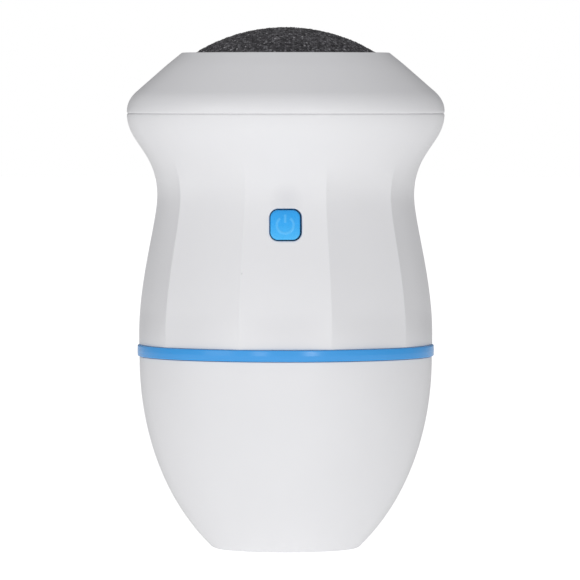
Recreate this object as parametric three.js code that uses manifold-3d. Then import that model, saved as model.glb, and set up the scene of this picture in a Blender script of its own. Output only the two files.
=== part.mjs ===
// Electric callus remover: a waisted hand-held grinder with a domed abrasive disc on top, a dust chamber
// and a fan under it, a motor in the waist, and four AA cells in the bowl it stands on.
// Millimetres, +Z up, origin at the centre of the flat base. The power button faces -Y.
import * as THREE from "three";
import { mergeVertices } from "three/addons/utils/BufferGeometryUtils.js";
import Module from "manifold-3d";

const wasm = await Module();
wasm.setup();

// ---------------------------------------------------------------- driving dimensions
const SHELL_SIDES = 40; // four for each facet, so that every ridge falls on a vertex
const DISC_SIDES = 28;
const PART_SIDES = 16;
const SMALL_SIDES = 10;

// Outer shells
const WALL = 2;
const BASE_R = 17.4;
const RING_LOW_Z = 46.2;
const RING_HIGH_Z = 48.9;
const RING_R = 35.6;
const RIM_R = 35.2; // both shells where they meet the ring
const BOWL_TOP_Z = RING_LOW_Z - 0.1;
const SHELL_LOW_Z = RING_HIGH_Z + 0.1;
const WAIST_R = 30.84;
const WAIST_Z = 84.6;
const SHOULDER_R = 38.1;
const SEAM_Z = 104.35;
const SHELL_TOP_Z = SEAM_Z - 0.1;
const COVER_LOW_Z = SEAM_Z + 0.1;
const COVER_TOP_Z = 118.9;
const COVER_EDGE_R = 24.86;
const OPENING_R = 23.6;
const FACETS = 10;
const FACET_FLATNESS = 0.75; // 1 is a flat facet, 0 is a round body
const FACETS_RIM = 0.66; // share of that flatness at the lower rim
const FACETS_START = [49, 54]; // heights between which it grows to the full
const FACETS_END = [86, 94]; // heights between which it fades away

// Abrasive disc
const TOP_Z = 125.1;
const DOME_R = 41.3;
const DOME_CENTRE_Z = TOP_Z - DOME_R;
const DISC_R = 22.4;
const GRIT_T = 0.9;
const FOAM_T = 2.5;
const CARRIER_T = 2;

// Button and circuit board
const BUTTON_Z = 78.25;
const BUTTON_HOLE = 7.6;
const BUTTON_SIZE = 7;
const BUTTON_FACE_Y = -30.9;
const BUTTON_LEAN = 0.2; // the cap's face leans back with the wall around it
const BOARD_FRONT_Y = -19.6;
const BOARD_T = 1.2;
const PILLARS = [
  { z: 66.5, wallY: -31.3 },
  { z: 87.4, wallY: -29 },
];

// Motor and fan
const DECK_Z = 91;
const DECK_T = 1.6;
const DECK_TOP_Z = DECK_Z + DECK_T;
const DECK_SCREWS = [90, 210, 330].map((degrees) => ({ r: 25.8, degrees }));
const MOTOR_R = 12;
const MOTOR_LOW_Z = 65.6;
const MOTOR_TOP_Z = DECK_Z - 0.3;
const MOTOR_SCREW_X = 8;
const SHAFT_R = 1;
const BORE_R = 1.1;
const FAN_R = 15.5;
const BLADES = 8;

// Cells and their holder
const CELL_R = 7.1;
const CELL_OFFSET = 7.6;
const CELL_BODY = 49.5;
const CELL_NUB = 1;
const HOLDER_LOW_Z = 4;
const HOLDER_TOP_Z = 60;
const CONTACT_T = 0.4;
const BAY_LOW_Z = 5.9; // top face of the lower contact plates
const BAY_HIGH_Z = 59.5; // bottom face of the upper contact plates
const HOLDER_SCREW_X = 28.2;

// ---------------------------------------------------------------- materials
const finish = (color, roughness, metalness = 0) =>
  new THREE.MeshStandardMaterial({ color, roughness, metalness });
const white = finish(0xe9e9ea, 0.35);
const blue = finish(0x2f93ec, 0.4);
const grit = finish(0x3c3c40, 0.95);
const foam = finish(0x2a2a2c, 0.95);
const darkPlastic = finish(0x34363a, 0.5);
const greyPlastic = finish(0xc9cbcd, 0.55);
const filterGrey = finish(0x55585c, 1);
const silicone = finish(0xaeb2b6, 0.7);
const steel = finish(0xb8babc, 0.3, 1);
const magnetBlack = finish(0x26272a, 0.6, 0.3);
const brass = finish(0xc9a44c, 0.3, 1);
const copper = finish(0xb5672e, 0.35, 1);
const nickel = finish(0xd3d5d8, 0.2, 1);
const boardGreen = finish(0x1f6b3c, 0.5);
const cellJacket = finish(0x3a3d42, 0.35, 0.2);
const redWire = finish(0xb8201c, 0.5);
const blackWire = finish(0x1b1b1d, 0.5);

// ---------------------------------------------------------------- solids
const radians = THREE.MathUtils.degToRad;

/** A closed three.js geometry as a manifold-3d solid. */
function solid(geometry) {
  const bare = geometry.clone();
  bare.deleteAttribute("normal");
  bare.deleteAttribute("uv");
  const merged = mergeVertices(bare, 1e-3);
  return new wasm.Manifold(
    new wasm.Mesh({
      numProp: 3,
      vertProperties: merged.attributes.position.array,
      triVerts: new Uint32Array(merged.index.array),
    }),
  );
}

/** A manifold-3d solid as a three.js geometry. */
function geometryOf(made) {
  const { numProp, numVert, vertProperties, triVerts } = made.getMesh();
  const position = new Float32Array(numVert * 3);
  for (let i = 0; i < numVert; i++) {
    position.set(vertProperties.subarray(i * numProp, i * numProp + 3), i * 3);
  }
  const geometry = new THREE.BufferGeometry();
  geometry.setAttribute("position", new THREE.BufferAttribute(position, 3));
  geometry.setIndex(new THREE.BufferAttribute(triVerts, 1));
  geometry.computeVertexNormals();
  return geometry;
}

const joined = (...shapes) => shapes.map(solid).reduce((a, b) => a.add(b));
const cut = (body, ...tools) => tools.map(solid).reduce((a, b) => a.subtract(b), body);

// ---------------------------------------------------------------- simple shapes
/** A body of revolution about Z from [r, z] pairs, given anticlockwise with r to the right. */
function turned(outline, sides = PART_SIDES) {
  const points = outline.map(([r, z]) => new THREE.Vector2(r, z));
  const closesOnAxis = outline[0][0] === 0 && outline.at(-1)[0] === 0;
  if (!closesOnAxis) points.push(points[0].clone());
  return new THREE.LatheGeometry(points, sides).rotateX(Math.PI / 2);
}

const cylinder = (r, z0, z1, sides = PART_SIDES) =>
  turned([[0, z0], [r, z0], [r, z1], [0, z1]], sides);

const tube = (rIn, rOut, z0, z1, sides = PART_SIDES) =>
  turned([[rIn, z0], [rOut, z0], [rOut, z1], [rIn, z1]], sides);

/** A box given by its lowest and highest corners. */
function box([x0, y0, z0], [x1, y1, z1]) {
  const made = new THREE.BoxGeometry(x1 - x0, y1 - y0, z1 - z0);
  return made.translate((x0 + x1) / 2, (y0 + y1) / 2, (z0 + z1) / 2);
}

function extruded(shape, z0, z1, curveSegments = 2) {
  const options = { depth: z1 - z0, bevelEnabled: false, curveSegments };
  return new THREE.ExtrudeGeometry(shape, options).translate(0, 0, z0);
}

/** A shape drawn with its x along X and its y along Z, filling the space from y0 up to y1. */
const extrudedAlongY = (shape, y0, y1, curveSegments = 2) =>
  extruded(shape, 0, y1 - y0, curveSegments)
    .rotateX(Math.PI / 2)
    .translate(0, y1, 0);

const cylinderAlongY = (r, y0, y1) => cylinder(r, -y1, -y0, SMALL_SIDES).rotateX(Math.PI / 2);

function roundedRectangle(width, height, r) {
  const shape = new THREE.Shape();
  const [x, y] = [width / 2 - r, height / 2 - r];
  shape.absarc(x, y, r, 0, Math.PI / 2);
  shape.absarc(-x, y, r, Math.PI / 2, Math.PI);
  shape.absarc(-x, -y, r, Math.PI, 1.5 * Math.PI);
  shape.absarc(x, -y, r, 1.5 * Math.PI, 2 * Math.PI);
  return shape;
}

/** Part of a ring between two radii, centred on the angle `middle`, all angles in degrees. */
function ringSector(rIn, rOut, middle, span) {
  const [a, b] = [radians(middle - span / 2), radians(middle + span / 2)];
  const shape = new THREE.Shape();
  shape.absarc(0, 0, rOut, a, b);
  shape.absarc(0, 0, rIn, b, a, true);
  return shape;
}

const polygon = (points) => new THREE.Shape(points.map(([x, y]) => new THREE.Vector2(x, y)));

/** A round wire along a curve. */
function wire(path, r, steps, sides = 6) {
  const corners = Array.from({ length: sides }, (_, i) => polar(r, (360 * i) / sides));
  const options = { steps, extrudePath: path, bevelEnabled: false };
  return new THREE.ExtrudeGeometry(polygon(corners), options);
}

function polar(r, degrees) {
  return [r * Math.cos(radians(degrees)), r * Math.sin(radians(degrees))];
}

/** A pan-head screw whose head stands on z = 0, with its shank below. */
const screw = (headR, headH, shankR, shankL) =>
  turned(
    [
      [0, -shankL],
      [shankR * 0.4, -shankL],
      [shankR, -shankL + shankR],
      [shankR, 0],
      [headR, 0],
      [headR, headH * 0.5],
      [headR * 0.7, headH],
      [0, headH],
    ],
    SMALL_SIDES,
  );

/** Points on a sphere about the dome's centre, as [r, z] pairs between two radii. */
const domeArc = (sphereR, rFrom, rTo, steps) =>
  Array.from({ length: steps + 1 }, (_, i) => {
    const r = rFrom + ((rTo - rFrom) * i) / steps;
    return [r, DOME_CENTRE_Z + Math.sqrt(sphereR * sphereR - r * r)];
  });

// ---------------------------------------------------------------- outlines of the shells
const bezier = (...points) =>
  new THREE.CubicBezierCurve(...points.map(([r, z]) => new THREE.Vector2(r, z)));
const bowlCurve = bezier(
  [BASE_R + 0.2, 0.24],
  [30.11, 12.39],
  [RIM_R - 0.1, 29.65],
  [RIM_R - 0.1, BOWL_TOP_Z],
);
const flareCurve = bezier(
  [RIM_R, 50.6],
  [RIM_R + 0.2, 64.3],
  [WAIST_R, 78.2],
  [WAIST_R, WAIST_Z],
);
const shoulderCurve = bezier(
  [WAIST_R, WAIST_Z],
  [WAIST_R, 95.4],
  [SHOULDER_R, 97.1],
  [SHOULDER_R, SHELL_TOP_Z],
);

const sampled = (path, steps) => path.getPoints(steps).map((p) => [p.x, p.y]);

/** Points on a curve moved inwards by a wall's thickness. */
const inside = (path, wall, steps) =>
  Array.from({ length: steps + 1 }, (_, i) => {
    const p = path.getPoint(i / steps);
    const t = path.getTangent(i / steps);
    return [p.x - wall * t.y, p.y + wall * t.x];
  });

/** Draws a round body in between ridges that keep its radius, so that it gains soft flat facets. */
function faceted(geometry) {
  const position = geometry.attributes.position;
  const step = (2 * Math.PI) / FACETS;
  for (let i = 0; i < position.count; i++) {
    const [x, y, z] = [position.getX(i), position.getY(i), position.getZ(i)];
    const fromFront = Math.atan2(x, -y);
    const fromMiddle = fromFront - step * Math.round(fromFront / step);
    const flat = Math.cos(step / 2) / Math.cos(fromMiddle);
    const grown = THREE.MathUtils.smoothstep(z, ...FACETS_START);
    const faded = THREE.MathUtils.smoothstep(z, ...FACETS_END);
    const amount = THREE.MathUtils.lerp(FACETS_RIM, 1, grown) * (1 - faded);
    const scale = 1 - FACET_FLATNESS * amount * (1 - flat);
    position.setXY(i, x * scale, y * scale);
  }
  return geometry;
}

// ---------------------------------------------------------------- assembly
const remover = new THREE.Group();
const base = new THREE.Group(); // the bowl, which stays on the table
const housing = new THREE.Group(); // all that lifts off the bowl and holds still in the hand
const headCover = new THREE.Group();
const grindingHead = new THREE.Group(); // all that turns with the motor's shaft
const button = new THREE.Group();
button.position.z = BUTTON_Z;
remover.add(base, housing);
housing.add(headCover, grindingHead, button);

/** Adds a named mesh made from a geometry or from a solid, at a place and turned about its own axes. */
function add(group, name, shape, material, position = [0, 0, 0], rotation = [0, 0, 0]) {
  const geometry = shape.isBufferGeometry ? shape : geometryOf(shape);
  const mesh = new THREE.Mesh(geometry, material.clone());
  mesh.name = name;
  mesh.position.set(...position);
  mesh.rotation.set(...rotation);
  group.add(mesh);
}

// ---------------------------------------------------------------- outer shells
const SPIGOT = { rIn: 31.4, rOut: 32.9, low: 43.5, high: 50.5 };
const FLOOR_T = 2.2;
const bowlInside = inside(bowlCurve, WALL, 7)
  .filter(([, z]) => z > FLOOR_T + 1 && z < SPIGOT.low - 1)
  .reverse();
add(
  base,
  "lower_shell",
  turned(
    [
      [0, 0],
      [BASE_R, 0],
      ...sampled(bowlCurve, 8),
      [SPIGOT.rOut, BOWL_TOP_Z],
      [SPIGOT.rOut, SPIGOT.high - 0.4],
      [SPIGOT.rOut - 0.4, SPIGOT.high],
      [SPIGOT.rIn, SPIGOT.high],
      [SPIGOT.rIn, SPIGOT.low],
      ...bowlInside,
      [15.8, FLOOR_T],
      [0, FLOOR_T],
    ],
    SHELL_SIDES,
  ),
  white,
);

const TONGUE = { rIn: 33.25, rOut: 34.2, low: 46.4 };
add(
  housing,
  "trim_ring",
  turned(
    [
      [TONGUE.rOut + 0.1, RING_LOW_Z],
      [RING_R - 0.4, RING_LOW_Z],
      [RING_R - 0.05, RING_LOW_Z + 0.5],
      [RING_R, (RING_LOW_Z + RING_HIGH_Z) / 2],
      [RING_R - 0.05, RING_HIGH_Z - 0.5],
      [RING_R - 0.4, RING_HIGH_Z],
      [TONGUE.rOut + 0.1, RING_HIGH_Z],
    ],
    SHELL_SIDES,
  ),
  blue,
);

/** A hollow post standing off the shell's wall, given by the place of its axis and its two ends. */
const post = (r, bore, x, y, z0, z1) => ({
  body: cylinder(r, z0, z1, SMALL_SIDES).translate(x, y, 0),
  bore: cylinder(bore, z0 - 1, z1 + 1, SMALL_SIDES).translate(x, y, 0),
});
const deckPosts = DECK_SCREWS.map(({ r, degrees }) => {
  const [x, y] = polar(r, degrees);
  return post(2.9, 1.1, x, y, 80, DECK_Z - 0.1);
});
const holderPosts = [-HOLDER_SCREW_X, HOLDER_SCREW_X].map((x) =>
  post(3, 1.1, x, 0, HOLDER_TOP_Z + 1.8, 72),
);
const boardPosts = PILLARS.map(({ z, wallY }) => ({
  body: cylinderAlongY(2.2, wallY, BOARD_FRONT_Y - 0.1).translate(0, 0, z),
  bore: cylinderAlongY(0.95, wallY + 4, BOARD_FRONT_Y + 1).translate(0, 0, z),
}));
const posts = [...deckPosts, ...holderPosts, ...boardPosts];

const upperOutside = faceted(
  turned(
    [
      [0, SHELL_LOW_Z],
      [RIM_R, SHELL_LOW_Z],
      ...sampled(flareCurve, 6).slice(0, -1),
      ...sampled(shoulderCurve, 7),
      [0, SHELL_TOP_Z],
    ],
    SHELL_SIDES,
  ),
);
const upperCavity = turned(
  [
    [0, SHELL_LOW_Z - 1],
    [TONGUE.rIn, SHELL_LOW_Z - 1],
    [TONGUE.rIn, 52],
    [31.9, 54],
    [31.4, 62],
    [28.3, 78],
    [WAIST_R - 3.2, WAIST_Z],
    [29.2, 91.5],
    [32.6, 96.2],
    [33.8, 99.6],
    [36.1, 99.6],
    [36.1, SEAM_Z + 1],
    [0, SEAM_Z + 1],
  ],
  SHELL_SIDES,
);
const buttonHole = extrudedAlongY(roundedRectangle(BUTTON_HOLE, BUTTON_HOLE, 2.1), -34, -24.5, 3);
const vents = [-6, -3, 0, 3, 6].map((x) =>
  extrudedAlongY(roundedRectangle(1.4, 10, 0.69), 27, 37, 1).translate(x, 0, 66),
);
const upperBody = cut(solid(upperOutside), upperCavity, ...vents)
  .add(solid(tube(TONGUE.rIn, TONGUE.rOut, TONGUE.low, SHELL_LOW_Z + 1, SHELL_SIDES)))
  .add(joined(...posts.map((p) => p.body)));
add(
  housing,
  "upper_shell",
  cut(upperBody, buttonHole.translate(0, 0, BUTTON_Z), ...posts.map((p) => p.bore)),
  white,
);

const SKIRT = { rIn: 34.3, rOut: 35.8, low: 100.5 };
const coverShoulder = new THREE.QuadraticBezierCurve(
  new THREE.Vector2(SHOULDER_R, COVER_LOW_Z),
  new THREE.Vector2(SHOULDER_R, 107.5),
  new THREE.Vector2(35.6, 109.73),
);
add(
  headCover,
  "head_cover",
  turned(
    [
      [SKIRT.rIn, SKIRT.low],
      [SKIRT.rOut - 0.3, SKIRT.low],
      [SKIRT.rOut, SKIRT.low + 0.3],
      [SKIRT.rOut, COVER_LOW_Z],
      ...sampled(coverShoulder, 4),
      [28.45, 116],
      [COVER_EDGE_R + 0.4, COVER_TOP_Z - 0.35],
      [COVER_EDGE_R - 0.3, COVER_TOP_Z],
      [OPENING_R + 0.2, COVER_TOP_Z],
      [OPENING_R, COVER_TOP_Z - 0.3],
      [OPENING_R, COVER_TOP_Z - 2.1],
      [24.2, COVER_TOP_Z - 2.1],
      [33.8, 108.6],
      [SKIRT.rIn, 107.6],
    ],
    SHELL_SIDES,
  ),
  white,
);
add(housing, "head_seal", tube(34.1, 35.8, 99.7, 100.3, SHELL_SIDES), silicone);

// ---------------------------------------------------------------- abrasive disc and its carrier
const foamR = DOME_R - GRIT_T - 0.15;
const carrierR = foamR - FOAM_T - 0.25;
const HUB_R = 3.8;
const HUB_LOW_Z = 102.7;
const HEAD_SEAT_Z = 119.4;
add(
  grindingHead,
  "abrasive_disc",
  turned(
    [
      ...domeArc(DOME_R - GRIT_T, 0, DISC_R - 0.5, 5),
      [DISC_R - 0.5, 117.1],
      [DISC_R, 117.1],
      ...domeArc(DOME_R, DISC_R, 0, 5),
    ],
    DISC_SIDES,
  ),
  grit,
);
add(
  grindingHead,
  "foam_pad",
  turned(
    [...domeArc(foamR - FOAM_T, 0, DISC_R - 0.7, 5), ...domeArc(foamR, DISC_R - 0.7, 0, 5)],
    DISC_SIDES,
  ),
  foam,
);
const carrierDome = turned(
  [
    [BORE_R, HUB_LOW_Z],
    [HUB_R, HUB_LOW_Z],
    ...domeArc(carrierR - CARRIER_T, HUB_R, DISC_R - 3.2, 3),
    [DISC_R - 3.2, 112.5],
    [DISC_R - 1.2, 112.5],
    ...domeArc(carrierR, DISC_R - 1.2, 2.6, 4),
    [2.6, HEAD_SEAT_Z],
    [BORE_R, HEAD_SEAT_Z],
  ],
  DISC_SIDES,
);
const rib = extrudedAlongY(
  polygon([
    [HUB_R - 0.5, 112.6],
    [DISC_R - 2.2, 112.6],
    ...domeArc(carrierR - CARRIER_T / 2, DISC_R - 2.2, HUB_R - 0.5, 3),
  ]),
  -0.6,
  0.6,
);
const carrierRibs = [0, 60, 120, 180, 240, 300].map((a) => rib.clone().rotateZ(radians(a)));
add(grindingHead, "disc_carrier", joined(carrierDome, ...carrierRibs), greyPlastic);
add(grindingHead, "carrier_screw", screw(2.3, 1.3, 0.95, 8), steel, [0, 0, HEAD_SEAT_Z + 0.05]);

// ---------------------------------------------------------------- fan, filter and deck
const blade = (() => {
  const line = Array.from({ length: 5 }, (_, i) => ({ r: 6 + 2.25 * i, degrees: -9 * i }));
  const edge = (side) => line.map(({ r, degrees }) => polar(r, degrees + side * (26 / r)));
  return extruded(polygon([...edge(-1), ...edge(1).reverse()]), 95.2, 101);
})();
const fanPlate = turned([
  [BORE_R, 94.4],
  [FAN_R, 94.4],
  [FAN_R, 95.4],
  [4, 95.6],
  [4, 101.5],
  [BORE_R, 101.5],
]);
const fanBlades = Array.from({ length: BLADES }, (_, i) =>
  blade.clone().rotateZ((2 * Math.PI * i) / BLADES),
);
add(grindingHead, "impeller", joined(fanPlate, ...fanBlades), blue);

const SHROUD_R = 19;
const SHROUD_TOP_Z = 103.1;
add(
  housing,
  "fan_shroud",
  turned(
    [
      [SHROUD_R - 0.9, DECK_TOP_Z + 0.1],
      [SHROUD_R, DECK_TOP_Z + 0.1],
      [SHROUD_R, SHROUD_TOP_Z - 0.4],
      [SHROUD_R - 0.4, SHROUD_TOP_Z],
      [9, SHROUD_TOP_Z],
      [9, SHROUD_TOP_Z - 0.9],
      [SHROUD_R - 0.9, SHROUD_TOP_Z - 0.9],
    ],
    PART_SIDES + 8,
  ),
  greyPlastic,
);
add(housing, "filter_foam", tube(5.1, 17.3, SHROUD_TOP_Z + 0.1, 105.2, PART_SIDES + 8), filterGrey);
const frameSpokes = [0, 90, 180, 270].map((a) =>
  box([6, -0.6, 105.4], [18, 0.6, 106.6]).rotateZ(radians(a)),
);
add(
  housing,
  "filter_frame",
  joined(
    tube(17.7, 18.6, SHROUD_TOP_Z + 0.1, 106.6, PART_SIDES + 8),
    tube(5.1, 6.4, 105.4, 106.6, PART_SIDES + 8),
    ...frameSpokes,
  ),
  darkPlastic,
);

const hole = (r, x, y, z0, z1) => cylinder(r, z0, z1, SMALL_SIDES).translate(x, y, 0);
const throughDeck = (r, x, y) => hole(r, x, y, DECK_Z - 1, DECK_TOP_Z + 1);
const deckHoles = DECK_SCREWS.map(({ r, degrees }) => throughDeck(1.35, ...polar(r, degrees)));
const airSlots = [30, 90, 150, 210, 270, 330].map((a) =>
  extruded(ringSector(13.2, 16.6, a, 34), DECK_Z - 1, DECK_TOP_Z + 1, 2),
);
add(
  housing,
  "motor_deck",
  cut(
    solid(cylinder(28.4, DECK_Z, DECK_TOP_Z, DISC_SIDES)),
    throughDeck(3.5, 0, 0),
    throughDeck(1.25, MOTOR_SCREW_X, 0),
    throughDeck(1.25, -MOTOR_SCREW_X, 0),
    ...deckHoles,
    ...airSlots,
  ),
  greyPlastic,
);
DECK_SCREWS.forEach(({ r, degrees }, i) => {
  const [x, y] = polar(r, degrees);
  add(housing, `deck_screw_${i + 1}`, screw(2.3, 1.4, 0.95, 8), steel, [x, y, DECK_TOP_Z + 0.05]);
});
[MOTOR_SCREW_X, -MOTOR_SCREW_X].forEach((x, i) => {
  add(housing, `motor_screw_${i + 1}`, screw(2, 1.2, 0.9, 4.2), steel, [x, 0, DECK_TOP_Z + 0.05]);
});

// ---------------------------------------------------------------- motor
const CAN_T = 0.8;
const canBody = turned([
  [MOTOR_R - CAN_T, MOTOR_LOW_Z],
  [MOTOR_R, MOTOR_LOW_Z],
  [MOTOR_R, MOTOR_TOP_Z - 0.7],
  [MOTOR_R - 0.7, MOTOR_TOP_Z],
  [3.1, MOTOR_TOP_Z],
  [3.1, 92.3],
  [2.4, 92.3],
  [2.4, MOTOR_TOP_Z - CAN_T],
  [MOTOR_R - CAN_T, MOTOR_TOP_Z - CAN_T],
]);
const canScrewHoles = [-MOTOR_SCREW_X, MOTOR_SCREW_X].map((x) => hole(1.05, x, 0, 89, 91.5));
add(housing, "motor_can", cut(solid(canBody), ...canScrewHoles), steel);

const TERMINAL_X = 7;
const capBody = turned([
  [2.4, 63.4],
  [3.5, 63.4],
  [3.5, MOTOR_LOW_Z + 0.1],
  [10.9, MOTOR_LOW_Z + 0.1],
  [10.9, 67.8],
  [2.4, 67.8],
]);
const terminal = (x, gap, z0, z1) =>
  box([x - 1.2 - gap, -0.3 - gap, z0], [x + 1.2 + gap, 0.3 + gap, z1]);
add(
  housing,
  "motor_end_cap",
  cut(solid(capBody), terminal(TERMINAL_X, 0.15, 60, 70), terminal(-TERMINAL_X, 0.15, 60, 70)),
  darkPlastic,
);
add(housing, "motor_terminal_1", terminal(TERMINAL_X, 0, 62.2, 69), brass);
add(housing, "motor_terminal_2", terminal(-TERMINAL_X, 0, 62.2, 69), brass);
add(housing, "motor_bush_rear", tube(BORE_R, 2.25, 63.6, 67.4, SMALL_SIDES), brass);
add(housing, "motor_bush_front", tube(BORE_R, 2.25, 89.4, 92.1, SMALL_SIDES), brass);
add(housing, "motor_magnet_1", extruded(ringSector(8.9, 10.9, 90, 130), 70, 86, 3), magnetBlack);
add(housing, "motor_magnet_2", extruded(ringSector(8.9, 10.9, 270, 130), 70, 86, 3), magnetBlack);

const POLES = [0, 120, 240];
const POLE_R = 8.2;
const coreArms = POLES.map((a) =>
  joined(
    box([0, -1.2, 72], [POLE_R - 0.9, 1.2, 84]).rotateZ(radians(a)),
    extruded(ringSector(POLE_R - 1.3, POLE_R, a, 96), 72, 84, 2),
  ),
);
const core = coreArms.reduce((a, b) => a.add(b), solid(cylinder(2.8, 72, 84, SMALL_SIDES)));
add(grindingHead, "armature_core", cut(core, cylinder(BORE_R, 70, 86, SMALL_SIDES)), steel);
POLES.forEach((a, i) => {
  const winding = cut(
    solid(box([3.4, -2.7, 70.6], [5.9, 2.7, 85.4])),
    box([3, -1.35, 71.8], [7, 1.35, 84.2]),
  );
  add(grindingHead, `armature_coil_${i + 1}`, winding, copper, [0, 0, 0], [0, 0, radians(a)]);
});
add(grindingHead, "commutator", tube(BORE_R, 2.7, 68.1, 70.3, SMALL_SIDES), copper);
add(grindingHead, "motor_shaft", cylinder(SHAFT_R, 62.6, 108.2, SMALL_SIDES), steel);

// ---------------------------------------------------------------- button, switch and board
/** Leans the front of a shape back with the wall, so that its face stays level with the opening. */
function leaned(geometry) {
  const position = geometry.attributes.position;
  for (let i = 0; i < position.count; i++) {
    const [y, z] = [position.getY(i), position.getZ(i)];
    if (y < BUTTON_FACE_Y + 1.5) position.setY(i, y + BUTTON_LEAN * z);
  }
  return geometry;
}
const RELIEF = 0.15;
const symbolBar = roundedRectangle(0.5, 2, 0.2);
add(
  button,
  "power_button",
  joined(
    leaned(extrudedAlongY(roundedRectangle(BUTTON_SIZE, BUTTON_SIZE, 1.8), BUTTON_FACE_Y, -26.5, 3)),
    leaned(extrudedAlongY(ringSector(1.75, 2.2, 270, 290), BUTTON_FACE_Y - RELIEF, -30.5, 5)),
    leaned(extrudedAlongY(symbolBar, BUTTON_FACE_Y - RELIEF, -30.5, 1).translate(0, 0, 1.5)),
    extrudedAlongY(roundedRectangle(9.4, 9.4, 2.6), -27, -26.1),
    cylinderAlongY(1.5, -26.2, -25.2),
  ),
  blue,
);
add(
  button,
  "switch_plunger",
  box([-1.5, -25, -1.5], [1.5, -23.5, 1.5]),
  darkPlastic,
);
add(
  housing,
  "switch_body",
  cut(
    solid(box([-4, -23.8, BUTTON_Z - 4], [4, BOARD_FRONT_Y - 0.1, BUTTON_Z + 4])),
    box([-1.8, -25, BUTTON_Z - 1.8], [1.8, -21.9, BUTTON_Z + 1.8]),
  ),
  darkPlastic,
);
const boardHoles = PILLARS.map(({ z }) => cylinderAlongY(1.1, -21, -17).translate(0, 0, z));
add(
  housing,
  "circuit_board",
  cut(solid(box([-8, BOARD_FRONT_Y, 63.5], [8, BOARD_FRONT_Y + BOARD_T, 89.9])), ...boardHoles),
  boardGreen,
);
PILLARS.forEach(({ z }, i) => {
  const seat = [0, BOARD_FRONT_Y + BOARD_T + 0.05, z];
  add(housing, `board_screw_${i + 1}`, screw(1.9, 1.1, 0.8, 6), steel, seat, [-Math.PI / 2, 0, 0]);
});

// ---------------------------------------------------------------- cells and their holder
const RAILS = [0, 90, 180, 270].map((a) => polar(14.6, a));
const holderTop = HOLDER_TOP_Z + 1.6;
const WIRE_HOLES = [
  [9, 9],
  [9, -9],
];
const holderBody = joined(
  cylinder(17.6, HOLDER_LOW_Z, BAY_LOW_Z - 0.5, DISC_SIDES),
  cylinder(17.8, HOLDER_TOP_Z, holderTop, DISC_SIDES),
  extruded(roundedRectangle(2 * HOLDER_SCREW_X + 5.2, 5.6, 2.6), HOLDER_TOP_Z, holderTop),
  ...RAILS.map(([x, y]) => hole(2.2, x, y, HOLDER_LOW_Z + 0.5, HOLDER_TOP_Z + 0.5)),
  box([-14.6, -0.4, 6.4], [14.6, 0.4, 59]),
  box([-0.4, -14.6, 6.4], [0.4, 14.6, 59]),
);
const holderHoles = [
  ...WIRE_HOLES.map(([x, y]) => hole(1, x, y, HOLDER_TOP_Z - 1, holderTop + 1)),
  ...[-1, 1].map((s) => hole(1.35, s * HOLDER_SCREW_X, 0, HOLDER_TOP_Z - 1, holderTop + 1)),
];
add(housing, "battery_holder", cut(holderBody, ...holderHoles), darkPlastic);
[-1, 1].forEach((s, i) => {
  const seat = [s * HOLDER_SCREW_X, 0, HOLDER_TOP_Z - 0.05];
  add(housing, `holder_screw_${i + 1}`, screw(2.3, 1.4, 0.95, 8), steel, seat, [Math.PI, 0, 0]);
});

/** A cell standing on z = 0 with its positive nub upwards. */
const cell = turned(
  [
    [0, 0],
    [6.5, 0],
    [CELL_R, 0.5],
    [CELL_R, CELL_BODY - 0.5],
    [6.5, CELL_BODY],
    [2.75, CELL_BODY],
    [2.75, CELL_BODY + CELL_NUB],
    [0, CELL_BODY + CELL_NUB],
  ],
  PART_SIDES,
);
/** A conical contact spring whose wide end stands on z = 0. */
const SPRING_H = 2.7;
const SPRING_WIRE_R = 0.3;
class SpringLine extends THREE.Curve {
  getPoint(t, target = new THREE.Vector3()) {
    const [x, y] = polar(3.7 - 1.6 * t, 900 * t);
    return target.set(x, y, SPRING_WIRE_R + (SPRING_H - 2 * SPRING_WIRE_R) * t);
  }
}
const spring = wire(new SpringLine(), SPRING_WIRE_R, 22, 5);
const CELLS = [
  { x: CELL_OFFSET, y: CELL_OFFSET, nubUp: true },
  { x: -CELL_OFFSET, y: CELL_OFFSET, nubUp: false },
  { x: -CELL_OFFSET, y: -CELL_OFFSET, nubUp: true },
  { x: CELL_OFFSET, y: -CELL_OFFSET, nubUp: false },
];
CELLS.forEach(({ x, y, nubUp }, i) => {
  const tip = 0.2; // between a nub and the contact plate
  const cellZ = nubUp ? BAY_HIGH_Z - tip - CELL_NUB - CELL_BODY : BAY_LOW_Z + tip + CELL_NUB + CELL_BODY;
  const springZ = nubUp ? BAY_LOW_Z + 0.1 : BAY_HIGH_Z - 0.1;
  const turn = [nubUp ? 0 : Math.PI, 0, 0];
  add(housing, `battery_${i + 1}`, cell, cellJacket, [x, y, cellZ], turn);
  add(housing, `contact_spring_${i + 1}`, spring, nickel, [x, y, springZ], turn);
});

const PLATE = 8;
/** A contact plate over one cell, or reaching over to its neighbour. */
const plate = (spanX = 0, spanY = 0) =>
  extruded(roundedRectangle(PLATE + spanX, PLATE + spanY, 2.5), 0, CONTACT_T);
const reach = 2 * CELL_OFFSET;
const lowPlateZ = BAY_LOW_Z - CONTACT_T;
add(housing, "contact_plus", plate(), nickel, [CELL_OFFSET, CELL_OFFSET, BAY_HIGH_Z]);
add(housing, "contact_minus", plate(), nickel, [CELL_OFFSET, -CELL_OFFSET, BAY_HIGH_Z]);
add(housing, "contact_bridge_top", plate(0, reach), nickel, [-CELL_OFFSET, 0, BAY_HIGH_Z]);
add(housing, "contact_bridge_rear", plate(reach, 0), nickel, [0, CELL_OFFSET, lowPlateZ]);
add(housing, "contact_bridge_front", plate(reach, 0), nickel, [0, -CELL_OFFSET, lowPlateZ]);

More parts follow.
